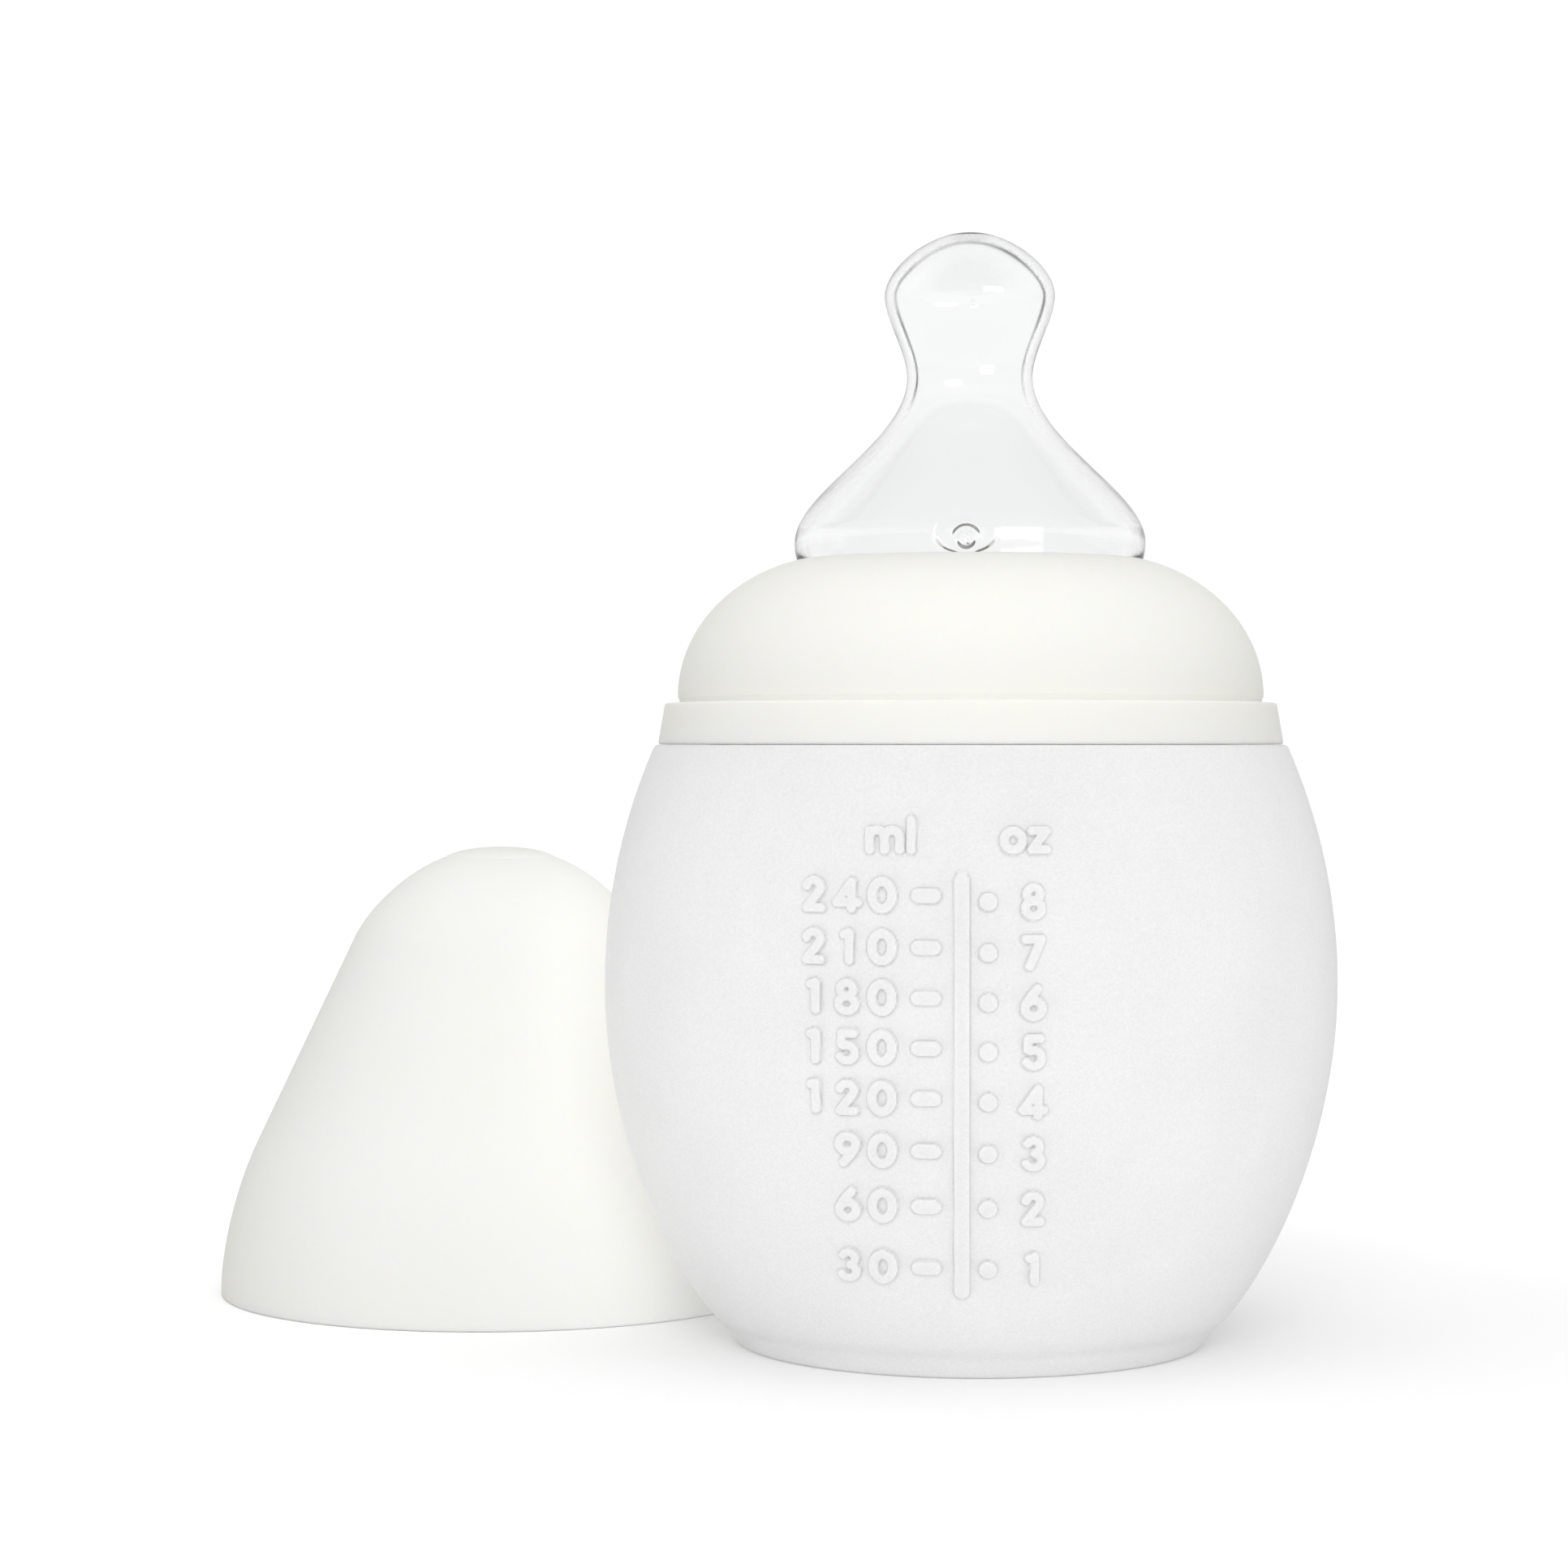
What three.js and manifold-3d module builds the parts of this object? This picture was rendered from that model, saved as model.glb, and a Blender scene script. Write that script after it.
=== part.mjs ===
// A wide baby bottle: a soft silicone body with a screw neck, a clear silicone teat, a screw collar that
// clamps the teat onto the neck, and a bell-shaped cap that stands on the table beside the body.
// Millimetres, +Z up, the body's axis on Z with its base at zero, the graduations facing -Y.
import * as THREE from "three";
import { mergeVertices } from "three/addons/utils/BufferGeometryUtils.js";
import Module from "manifold-3d";

const wasm = await Module();
wasm.setup();

// Facets
const BODY_SIDES = 44;
const TEAT_SIDES = 34;
const CAP_SIDES = 38;
const WELD = 1e-4;

// Gap between pieces that touch on the real object
const GAP = 0.3;

// Bottle body
const FOOT_RADIUS = 28;
const FOOT_CHAMFER = 0.5;
const FOOT_TOP = { radius: 29.85, height: 2.6 };
const BELLY = { radius: 44.05, height: 43.3 };
const BELLY_LOWER_HANDLES = { foot: 1.4, belly: 23.6 };
const BELLY_UPPER_BEND = 70.5;
const SHOULDER_HEIGHT = 71.9;
const SHOULDER_CHAMFER = 0.5;
const BODY_WALL = 2.2;
const FLOOR = 3.7;
const FLOOR_FLAT_RADIUS = 17;
const FLOOR_CORNER_HEIGHT = 12;
const FLOOR_CORNER_REACH = 5.4;
const NECK_RADIUS = 31;
const NECK_BORE = 28.2;
const NECK_TOP = 83;
const NECK_BLEND = { low: 69, high: 73.9 };

// Graduations: a raised dash for every 30 ml, a dot for every fluid ounce, and an upright bar between them
const DASH_STEP_ML = 30;
const DOT_STEP_ML = 29.57;
const GRADUATION_COUNT = 8;
const RELIEF = 0.4;
const BAR = { centre: -0.8, width: 1.8, low: 10.4, high: 57.9 };
const DASH = { centre: -4.7, length: 3.4, width: 1.7 };
const DOT = { centre: 2.05, radius: 1.05 };
const RELIEF_REACH = 60;

// Screw thread between neck and collar: right-handed, one start
const THREAD_LEAD = 4;
const THREAD_TURNS = 1.5;
const THREAD_STEPS = 40;
const THREAD_SIDES = 4;
const THREAD_ROOT_WIDTH = 2;
const THREAD_CREST_WIDTH = 1.1;
const THREAD_TAPER = 0.12;
const THREAD_BURIED = 0.5;
const NECK_THREAD = { root: NECK_RADIUS, crest: 32.3, start: 74.6 };
const COLLAR_THREAD = { root: 32.9, crest: 31.5, start: 72.6 + THREAD_LEAD };

// Collar: a band, the groove that the cap snaps into, and a dome with the teat's hole
const BAND = { bottom: 72.2, top: 76.9, bottomRadius: 37.6, topRadius: 36.75, chamfer: 0.4 };
const GROOVE = { radius: 34.8, top: 77.6 };
const DOME = { centre: 15.6, base: 77.7, reach: 19.6, rise: 17 };
const COLLAR_WALL = 2;
const COLLAR_BORE = 32.9;
const TEAT_HOLE = 20.7;

// Teat
const TEAT_TIP = 133.6;
const BULB = { radius: 10.25, height: 126, handles: { tip: 5.2, top: 3.1, bottom: 2.8 } };
const WAIST = { radius: 7.55, height: 116.2, handles: { top: 3, bottom: 7.8 } };
const BREAST = { radius: 21.12, height: 96.4, handles: { top: 6, bottom: 0.8 } };
const TEAT_FOOT = { radius: 20.8, height: 94.5, handle: 0.2 };
const TEAT_WALL = 1.2;
const TEAT_TIP_WALL = 1.5;
const TEAT_SKIRT_WALL = 1.5;
const TEAT_NECK = { radius: 20.4, bore: 19.2, low: 91.5 };
const FLANGE = { bottom: NECK_TOP + GAP, edge: 0.6, radius: 31.3, bore: NECK_BORE };
const MILK_HOLE = { centre: 0.4, radius: 0.35, height: 123.8 };
const VALVE = { centre: -0.35, height: 96.8, width: 7.6, tall: 5.2, depth: 0.9 };
const VALVE_BOSS = { radius: 1.65, cup: 1.1, stand: 0.35, drop: 0.6, cupDepth: 0.6 };
const VALVE_SLIT = { width: 0.3, length: 1.7 };
const CUT_PAST = 1;

// Cap
const CAP_CENTRE = { x: -61.9, y: 38.1 };
const CAP_RADIUS = 36.5;
const CAP_CURVE_TOP = { radius: 31.7, height: 20.1 };
const CAP_CONE_TOP = { radius: 19.04, height: 46.7 };
const CAP_CONE_LEAN = THREE.MathUtils.degToRad(25.5);
const CAP_CURVE_HANDLES = { rim: 6.5, cone: 5.9 };
const CAP_SHOULDER = { radius: 7.2, height: 57.1, handle: 6, slope: THREE.MathUtils.degToRad(20) };
const CAP_SHOULDER_CONE_HANDLE = 3.5;
const CAP_HEIGHT = 58.4;
const CAP_BUTTON_HANDLES = { edge: { radius: -0.6, height: 0.8 }, top: 3.5 };
const CAP_WALL = 1.15;
const SNAP = { count: 4, reach: 0.45, low: 0.1, high: 0.6, arc: 20 };

// Colours
const SILICONE = { color: 0xe6e7e8, roughness: 0.55, metalness: 0 };
const CLEAR_SILICONE = { color: 0xf2f3f3, roughness: 0.15, metalness: 0, transparent: true, opacity: 0.45 };
const IVORY = { color: 0xf3f2ea, roughness: 0.4, metalness: 0 };

const point = (radius, height) => new THREE.Vector2(radius, height);

// ---- outlines -------------------------------------------------------------------------------------------

// Points along a curve between two ends, each with the direction and length of its handle.
function bend(start, startHandle, endHandle, end, steps) {
  const startControl = start.clone().add(startHandle);
  const endControl = end.clone().add(endHandle);
  return new THREE.CubicBezierCurve(start, startControl, endControl, end).getPoints(steps);
}

// Points of an ellipse's arc, from one angle to another.
function ellipseArc(centre, height, reach, rise, from, to, steps) {
  const curve = new THREE.EllipseCurve(centre, height, reach, rise, from, to, to < from);
  return curve.getPoints(steps);
}

// An upward outline moved towards the axis by a wall's thickness, square to itself at each point.
function inset(outline, wall) {
  return outline.map((here, index) => {
    const before = outline[Math.max(index - 1, 0)];
    const after = outline[Math.min(index + 1, outline.length - 1)];
    const along = after.clone().sub(before).normalize();
    return point(here.x - wall * along.y, here.y + wall * along.x);
  });
}

// The belly from the foot's crease to the shoulder.
function bellyOutline() {
  const foot = point(FOOT_TOP.radius, FOOT_TOP.height);
  const widest = point(BELLY.radius, BELLY.height);
  const outward = point(BELLY_LOWER_HANDLES.foot, 0);
  const downward = point(0, -BELLY_LOWER_HANDLES.belly);
  const lower = bend(foot, outward, downward, widest, 10);
  const centre = BELLY.radius - BELLY_UPPER_BEND;
  const top = Math.asin((SHOULDER_HEIGHT - SHOULDER_CHAMFER - BELLY.height) / BELLY_UPPER_BEND);
  const upper = ellipseArc(centre, BELLY.height, BELLY_UPPER_BEND, BELLY_UPPER_BEND, 0, top, 7);
  return [...lower, ...upper.slice(1)];
}

// The body's inner surface from the middle of the floor up to the mouth.
function insideOutline() {
  const inner = inset(bellyOutline(), BODY_WALL);
  const wall = inner.filter((p) => p.y > FLOOR_CORNER_HEIGHT && p.y < NECK_BLEND.low);
  const corner = new THREE.QuadraticBezierCurve(
    point(FLOOR_FLAT_RADIUS, FLOOR),
    point(wall[0].x - FLOOR_CORNER_REACH, FLOOR),
    wall[0],
  );
  const lip = point(NECK_BORE, NECK_BLEND.high);
  return [point(0, FLOOR), ...corner.getPoints(5), ...wall.slice(1), lip, point(NECK_BORE, NECK_TOP)];
}

// ---- solids ---------------------------------------------------------------------------------------------

// A three.js geometry as a manifold-3d solid.
function toSolid(geometry) {
  geometry.deleteAttribute("normal");
  geometry.deleteAttribute("uv");
  const merged = mergeVertices(geometry, WELD);
  return new wasm.Manifold(
    new wasm.Mesh({
      numProp: 3,
      vertProperties: new Float32Array(merged.attributes.position.array),
      triVerts: new Uint32Array(merged.index.array),
    }),
  );
}

// A solid turned about Z from an outline that runs up the outside and back down the inside.
function turned(outline, sides) {
  const geometry = new THREE.LatheGeometry(outline, sides);
  geometry.rotateX(Math.PI / 2);
  return toSolid(geometry);
}

// A flat shape in X and Z, pushed through along Y between two depths.
function pushedAlongY(shape, near, far) {
  const settings = { depth: far - near, bevelEnabled: false, curveSegments: 6 };
  const geometry = new THREE.ExtrudeGeometry(shape, settings);
  geometry.rotateX(Math.PI / 2);
  geometry.translate(0, far, 0);
  return toSolid(geometry);
}

// A bar shape with round ends, lying along X or Z.
function roundBar(centreX, centreZ, length, width, upright) {
  const radius = width / 2;
  const straight = length / 2 - radius;
  const turn = upright ? Math.PI / 2 : 0;
  const shape = new THREE.Shape();
  const endX = straight * Math.cos(turn);
  const endZ = straight * Math.sin(turn);
  shape.absarc(centreX + endX, centreZ + endZ, radius, turn - Math.PI / 2, turn + Math.PI / 2);
  shape.absarc(centreX - endX, centreZ - endZ, radius, turn + Math.PI / 2, turn + (Math.PI * 3) / 2);
  shape.closePath();
  return shape;
}

function disc(centreX, centreZ, radius) {
  const shape = new THREE.Shape();
  shape.absarc(centreX, centreZ, radius, 0, Math.PI * 2);
  return shape;
}

// A ridge that climbs round Z as a right-handed helix, fading into the wall at both ends.
function threadRidge({ root, crest, start }) {
  const outward = crest > root;
  const buried = outward ? root - THREAD_BURIED : root + THREAD_BURIED;
  const hidden = (root + buried) / 2;
  const steps = Math.round(THREAD_TURNS * THREAD_STEPS);
  const positions = [];
  for (let step = 0; step <= steps; step += 1) {
    const share = step / steps;
    const angle = share * THREAD_TURNS * Math.PI * 2;
    const height = start + share * THREAD_TURNS * THREAD_LEAD;
    const fade = Math.min(1, share / THREAD_TAPER, (1 - share) / THREAD_TAPER);
    const tip = THREE.MathUtils.lerp(hidden, crest, fade);
    const inner = outward ? [buried, THREAD_ROOT_WIDTH / 2] : [tip, THREAD_CREST_WIDTH / 2];
    const outer = outward ? [tip, THREAD_CREST_WIDTH / 2] : [buried, THREAD_ROOT_WIDTH / 2];
    const corners = [
      [inner[0], -inner[1]],
      [outer[0], -outer[1]],
      [outer[0], outer[1]],
      [inner[0], inner[1]],
    ];
    for (const [radius, rise] of corners) {
      positions.push(radius * Math.cos(angle), radius * Math.sin(angle), height + rise);
    }
  }
  const faces = [0, 1, 2, 0, 2, 3];
  for (let step = 0; step < steps; step += 1) {
    for (let side = 0; side < THREAD_SIDES; side += 1) {
      const here = step * THREAD_SIDES + side;
      const next = step * THREAD_SIDES + ((side + 1) % THREAD_SIDES);
      faces.push(here, here + THREAD_SIDES, next, next, here + THREAD_SIDES, next + THREAD_SIDES);
    }
  }
  const last = steps * THREAD_SIDES;
  faces.push(last, last + 2, last + 1, last, last + 3, last + 2);
  const geometry = new THREE.BufferGeometry();
  geometry.setAttribute("position", new THREE.Float32BufferAttribute(positions, 3));
  geometry.setIndex(faces);
  return toSolid(geometry);
}

// A solid as a named mesh.
function toMesh(solid, name, material) {
  const made = solid.getMesh();
  const geometry = new THREE.BufferGeometry();
  geometry.setAttribute("position", new THREE.BufferAttribute(made.vertProperties, 3));
  geometry.setIndex(new THREE.BufferAttribute(made.triVerts, 1));
  geometry.computeVertexNormals();
  const mesh = new THREE.Mesh(geometry, new THREE.MeshStandardMaterial(material));
  mesh.name = name;
  return mesh;
}

// ---- graduations ----------------------------------------------------------------------------------------

// The height at which the inside holds a volume in millilitres, found by adding thin cone slices.
function heightOfVolume(inside, millilitres) {
  const slices = 400;
  let held = 0;
  for (let index = 1; index < inside.length; index += 1) {
    const low = inside[index - 1];
    const high = inside[index];
    for (let slice = 0; slice < slices; slice += 1) {
      const radius = THREE.MathUtils.lerp(low.x, high.x, (slice + 0.5) / slices);
      held += (Math.PI * radius * radius * (high.y - low.y)) / slices / 1000;
      if (held >= millilitres) {
        return THREE.MathUtils.lerp(low.y, high.y, (slice + 1) / slices);
      }
    }
  }
  throw new Error("the body holds less than " + millilitres + " ml");
}

// Every raised mark: the flat shapes pushed through a slightly fatter belly.
function graduations() {
  const shapes = [roundBar(BAR.centre, (BAR.low + BAR.high) / 2, BAR.high - BAR.low, BAR.width, true)];
  const inside = insideOutline();
  for (let mark = 1; mark <= GRADUATION_COUNT; mark += 1) {
    const dashHeight = heightOfVolume(inside, mark * DASH_STEP_ML);
    const dotHeight = heightOfVolume(inside, mark * DOT_STEP_ML);
    shapes.push(roundBar(DASH.centre, dashHeight, DASH.length, DASH.width, false));
    shapes.push(disc(DOT.centre, dotHeight, DOT.radius));
  }
  const belly = bellyOutline();
  const outer = inset(belly, -RELIEF);
  const inner = inset(belly, BODY_WALL / 2);
  const skin = turned([...outer, ...inner.reverse(), outer[0]], BODY_SIDES);
  const stamps = shapes.map((shape) => pushedAlongY(shape, -RELIEF_REACH, -BELLY.radius / 2));
  return wasm.Manifold.union(stamps).intersect(skin);
}

// ---- pieces ---------------------------------------------------------------------------------------------

function bottleBody() {
  const belly = bellyOutline();
  const outside = [
    point(0, 0),
    point(FOOT_RADIUS - FOOT_CHAMFER, 0),
    point(FOOT_RADIUS, FOOT_CHAMFER),
    ...belly,
    point(belly.at(-1).x - SHOULDER_CHAMFER, SHOULDER_HEIGHT),
    point(NECK_RADIUS, SHOULDER_HEIGHT),
    point(NECK_RADIUS, NECK_TOP),
  ];
  const shell = turned([...outside, ...insideOutline().reverse()], BODY_SIDES);
  return shell.add(threadRidge(NECK_THREAD)).add(graduations());
}

function collar() {
  const holeAngle = Math.acos((TEAT_HOLE - DOME.centre) / DOME.reach);
  const underHoleAngle = Math.acos((TEAT_HOLE - DOME.centre) / (DOME.reach - COLLAR_WALL));
  const underWallAngle = Math.acos((COLLAR_BORE - DOME.centre) / (DOME.reach - COLLAR_WALL));
  const over = ellipseArc(DOME.centre, DOME.base, DOME.reach, DOME.rise, 0, holeAngle, 8);
  const under = ellipseArc(
    DOME.centre,
    DOME.base,
    DOME.reach - COLLAR_WALL,
    DOME.rise - COLLAR_WALL,
    underHoleAngle,
    underWallAngle,
    6,
  );
  const outline = [
    point(COLLAR_BORE, BAND.bottom),
    point(BAND.bottomRadius - BAND.chamfer, BAND.bottom),
    point(BAND.bottomRadius, BAND.bottom + BAND.chamfer),
    point(BAND.topRadius, BAND.top - BAND.chamfer),
    point(BAND.topRadius - BAND.chamfer, BAND.top),
    point(GROOVE.radius, BAND.top),
    point(GROOVE.radius, GROOVE.top),
    ...over,
    ...under,
    point(COLLAR_BORE, BAND.bottom),
  ];
  return turned(outline, BODY_SIDES).add(threadRidge(COLLAR_THREAD));
}

// The teat's outer surface above the collar, from its foot to the tip.
function teatOutline() {
  const tip = point(0, TEAT_TIP);
  const bulb = point(BULB.radius, BULB.height);
  const waist = point(WAIST.radius, WAIST.height);
  const breast = point(BREAST.radius, BREAST.height);
  const foot = point(TEAT_FOOT.radius, TEAT_FOOT.height);
  const footHandle = point(TEAT_FOOT.handle, TEAT_FOOT.handle);
  const up = (length) => point(0, length);
  return [
    ...bend(foot, footHandle, up(-BREAST.handles.bottom), breast, 2).slice(0, -1),
    ...bend(breast, up(BREAST.handles.top), up(-WAIST.handles.bottom), waist, 8).slice(0, -1),
    ...bend(waist, up(WAIST.handles.top), up(-BULB.handles.bottom), bulb, 4).slice(0, -1),
    ...bend(bulb, up(BULB.handles.top), point(BULB.handles.tip, 0), tip, 5),
  ];
}

function teat() {
  const visible = teatOutline();
  const skirtReach = DOME.reach - COLLAR_WALL - GAP;
  const skirtRise = DOME.rise - COLLAR_WALL - GAP;
  const low = Math.asin((FLANGE.bottom + FLANGE.edge - DOME.base) / skirtRise);
  const high = Math.acos((TEAT_NECK.radius - DOME.centre) / skirtReach);
  const skirt = ellipseArc(DOME.centre, DOME.base, skirtReach, skirtRise, low, high, 6);
  const inside = inset(visible, TEAT_WALL).slice(2, -1);
  const underSkirt = inset(skirt, TEAT_SKIRT_WALL).filter((p) => p.x < FLANGE.bore && p.x > TEAT_NECK.bore);
  const outline = [
    point(FLANGE.bore, FLANGE.bottom),
    point(FLANGE.radius, FLANGE.bottom),
    ...skirt,
    point(TEAT_NECK.radius, TEAT_FOOT.height),
    ...visible,
    point(0, TEAT_TIP - TEAT_TIP_WALL),
    ...inside.reverse(),
    point(TEAT_NECK.bore, TEAT_FOOT.height),
    point(TEAT_NECK.bore, TEAT_NECK.low),
    ...underSkirt.reverse(),
    point(FLANGE.bore, FLANGE.bottom),
  ];
  return withValve(turned(outline, TEAT_SIDES)).subtract(milkHole());
}

function milkHole() {
  const shape = disc(MILK_HOLE.centre, MILK_HOLE.height, MILK_HOLE.radius);
  return pushedAlongY(shape, -BULB.radius - CUT_PAST, -BULB.radius / 2);
}

// The vent valve low on the front: a shallow lens-shaped pocket, a round boss with a cup, and a slit.
function withValve(shell) {
  const lens = new THREE.SphereGeometry(1, 20, 12);
  lens.scale(VALVE.width / 2, VALVE.depth, VALVE.tall / 2);
  lens.translate(VALVE.centre, -BREAST.radius, VALVE.height);
  const front = -BREAST.radius - VALVE_BOSS.stand;
  const at = VALVE.height - VALVE_BOSS.drop;
  const boss = pushedAlongY(disc(VALVE.centre, at, VALVE_BOSS.radius), front, -BREAST.radius + TEAT_WALL);
  const cupShape = disc(VALVE.centre, at, VALVE_BOSS.cup);
  const cup = pushedAlongY(cupShape, front - CUT_PAST, front + VALVE_BOSS.cupDepth);
  const slitShape = roundBar(VALVE.centre, at, VALVE_SLIT.length, VALVE_SLIT.width, true);
  const slit = pushedAlongY(slitShape, front - CUT_PAST, -BREAST.radius + TEAT_WALL * 2);
  return shell.subtract(toSolid(lens)).add(boss).subtract(cup).subtract(slit);
}

// The cap's outer surface from the rim to the middle of the button.
function capOutline() {
  const rim = point(CAP_RADIUS, 0);
  const curveTop = point(CAP_CURVE_TOP.radius, CAP_CURVE_TOP.height);
  const coneTop = point(CAP_CONE_TOP.radius, CAP_CONE_TOP.height);
  const shoulder = point(CAP_SHOULDER.radius, CAP_SHOULDER.height);
  const cone = point(-Math.sin(CAP_CONE_LEAN), Math.cos(CAP_CONE_LEAN));
  const slope = point(Math.cos(CAP_SHOULDER.slope), -Math.sin(CAP_SHOULDER.slope));
  const along = (direction, length) => direction.clone().multiplyScalar(length);
  const rimHandle = point(0, CAP_CURVE_HANDLES.rim);
  return [
    ...bend(rim, rimHandle, along(cone, -CAP_CURVE_HANDLES.cone), curveTop, 5),
    ...bend(coneTop, along(cone, CAP_SHOULDER_CONE_HANDLE), along(slope, CAP_SHOULDER.handle), shoulder, 6),
    ...bend(
      shoulder,
      point(CAP_BUTTON_HANDLES.edge.radius, CAP_BUTTON_HANDLES.edge.height),
      point(CAP_BUTTON_HANDLES.top, 0),
      point(0, CAP_HEIGHT),
      4,
    ).slice(1),
  ];
}

// One of the short arcs inside the rim that snap into the collar's groove.
function snapArc(index) {
  const inner = CAP_RADIUS - CAP_WALL - SNAP.reach;
  const outer = CAP_RADIUS - CAP_WALL / 2;
  const half = SNAP.arc / inner / 2;
  const middle = ((index + 0.5) / SNAP.count) * Math.PI * 2 - Math.PI / SNAP.count;
  const shape = new THREE.Shape();
  shape.absarc(0, 0, outer, middle - half, middle + half, false);
  shape.absarc(0, 0, inner, middle + half, middle - half, true);
  shape.closePath();
  const options = { depth: SNAP.high - SNAP.low, bevelEnabled: false, curveSegments: 6 };
  const geometry = new THREE.ExtrudeGeometry(shape, options);
  geometry.translate(0, 0, SNAP.low);
  return toSolid(geometry);
}

function cap() {
  const outside = capOutline();
  const inside = inset(outside, CAP_WALL).slice(1, -1);
  const outline = [
    point(CAP_RADIUS - CAP_WALL, 0),
    ...outside,
    point(0, CAP_HEIGHT - CAP_WALL),
    ...inside.reverse(),
    point(CAP_RADIUS - CAP_WALL, 0),
  ];
  const arcs = Array.from({ length: SNAP.count }, (_, index) => snapArc(index));
  return turned(outline, CAP_SIDES).add(wasm.Manifold.union(arcs));
}

// ---- assembly -------------------------------------------------------------------------------------------

const bottle = new THREE.Group();
bottle.name = "baby_bottle";
bottle.add(toMesh(bottleBody(), "bottle_body", SILICONE));
bottle.add(toMesh(collar(), "collar", IVORY));
bottle.add(toMesh(teat(), "teat", CLEAR_SILICONE));
const capMesh = toMesh(cap(), "cap", IVORY);
capMesh.position.set(CAP_CENTRE.x, CAP_CENTRE.y, 0);
bottle.add(capMesh);

export default bottle;
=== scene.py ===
"""A baby bottle in a plain white studio: a frosted silicone body with raised graduations, a clear silicone
teat, an ivory screw collar and an ivory bell-shaped cap.

Every piece is a surface of revolution with its details raised or sunk in the mesh. Lengths are in millimetres
until mesh_object() turns them into metres. Angles run round Z from the front (-Y) towards +X.
"""

import math

import bpy
import numpy as np
from mathutils import Matrix, Vector


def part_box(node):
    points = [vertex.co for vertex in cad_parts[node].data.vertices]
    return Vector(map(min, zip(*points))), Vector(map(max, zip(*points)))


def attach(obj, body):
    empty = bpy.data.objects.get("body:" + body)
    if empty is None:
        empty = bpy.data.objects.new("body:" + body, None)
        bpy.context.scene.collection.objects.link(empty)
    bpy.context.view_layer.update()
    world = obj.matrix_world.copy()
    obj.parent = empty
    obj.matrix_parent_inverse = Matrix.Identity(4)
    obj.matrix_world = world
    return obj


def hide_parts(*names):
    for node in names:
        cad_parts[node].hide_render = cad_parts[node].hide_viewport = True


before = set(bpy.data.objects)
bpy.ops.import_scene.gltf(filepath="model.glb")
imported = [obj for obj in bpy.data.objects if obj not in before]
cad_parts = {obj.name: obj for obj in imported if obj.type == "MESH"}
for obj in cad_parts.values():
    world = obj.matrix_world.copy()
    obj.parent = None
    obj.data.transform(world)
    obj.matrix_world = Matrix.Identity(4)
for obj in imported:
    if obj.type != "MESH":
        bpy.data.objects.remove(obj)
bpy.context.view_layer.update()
MM = 0.001


def cad_box(node):
    """A CAD node's lowest and highest corners in millimetres."""
    low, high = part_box(node)
    return low / MM, high / MM


BODY_HIGH = cad_box("bottle_body")[1]
COLLAR_HIGH = cad_box("collar")[1]
TEAT_LOW, TEAT_HIGH = cad_box("teat")
CAP_LOW, CAP_HIGH = cad_box("cap")

# Meshes: sectors are (fine from, fine to, fine step, coarse step) in degrees; grids are the spacing of rows
SHARP_EDGE = math.radians(50)
ROUND_SECTOR = (0, 360, 1.5, 1.5)
BODY_SECTOR = (-27, 14.4, 0.207, 6.0)
BODY_SPARSE_STEP = 3.8
TEAT_SECTOR = (-13, 12, 0.3, 3.0)
TEAT_SPARSE_STEP = 2.9
BODY_GRID = 0.6
NECK_THREAD_GRID = 0.25
BODY_LINING_GRID = 1.6
COLLAR_THREAD_GRID = 0.2
TEAT_GRID = 0.45
TEAT_DETAIL_GRID = 0.11
TEAT_LINING_GRID = 0.6
SNAP_GRID = 0.1
FINE_SAMPLES = 4000
CORNER_SHARE = 0.45  # the most of a side that a rounded corner takes
AXIS_GAP = 0.02  # how far from the axis an outline stops

# Body
BELLY_RADIUS = BODY_HIGH.x
BELLY_HEIGHT = 43.3
BELLY_UPPER_BEND = 70.5
BASE_RADIUS = 12
FOOT_FLAT_RADIUS = 26
FOOT_RADIUS = 28
FOOT_ROUND = 0.65
FOOT_TOP = (29.85, 2.6)
BELLY_FOOT_HANDLE = 1.4
BELLY_SIDE_HANDLE = 23.6
BELLY_START = 3  # the row of the belly where the foot's round ends
SHOULDER_HEIGHT = 71.9
SHOULDER_ROUND = 0.5
BELLY_TOP = SHOULDER_HEIGHT - 1
NECK_LOW = SHOULDER_HEIGHT + 0.6
BODY_WALL = 2.2
FLOOR_HEIGHT = 3.7
FLOOR_FLAT_RADIUS = 17
FLOOR_CORNER_HEIGHT = 12
FLOOR_CORNER_HANDLES = ((8, 0), (-2.6, -4.3))
NECK_RADIUS = 31
NECK_BORE = 28.2
NECK_TOP = BODY_HIGH.z
NECK_ROUND = 0.6
NECK_FOOT = SHOULDER_HEIGHT + 2
NECK_BORE_FOOT = SHOULDER_HEIGHT + 3
NECK_BLEND_HEIGHT = 68.5
NECK_BLEND_HANDLES = ((-2.4, 3), (0, -3.5))

# Screw thread
THREAD_LEAD = 4
THREAD_TURNS = 1.5
THREAD_FADE = 0.12
THREAD_ROOT_WIDTH = 2
THREAD_CREST_WIDTH = 1.1
THREAD_START_ANGLE = 90
NECK_THREAD_RISE = 1.3
NECK_THREAD_START = 74.6
COLLAR_THREAD_RISE = 1.4
COLLAR_THREAD_START = 76.6

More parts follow.
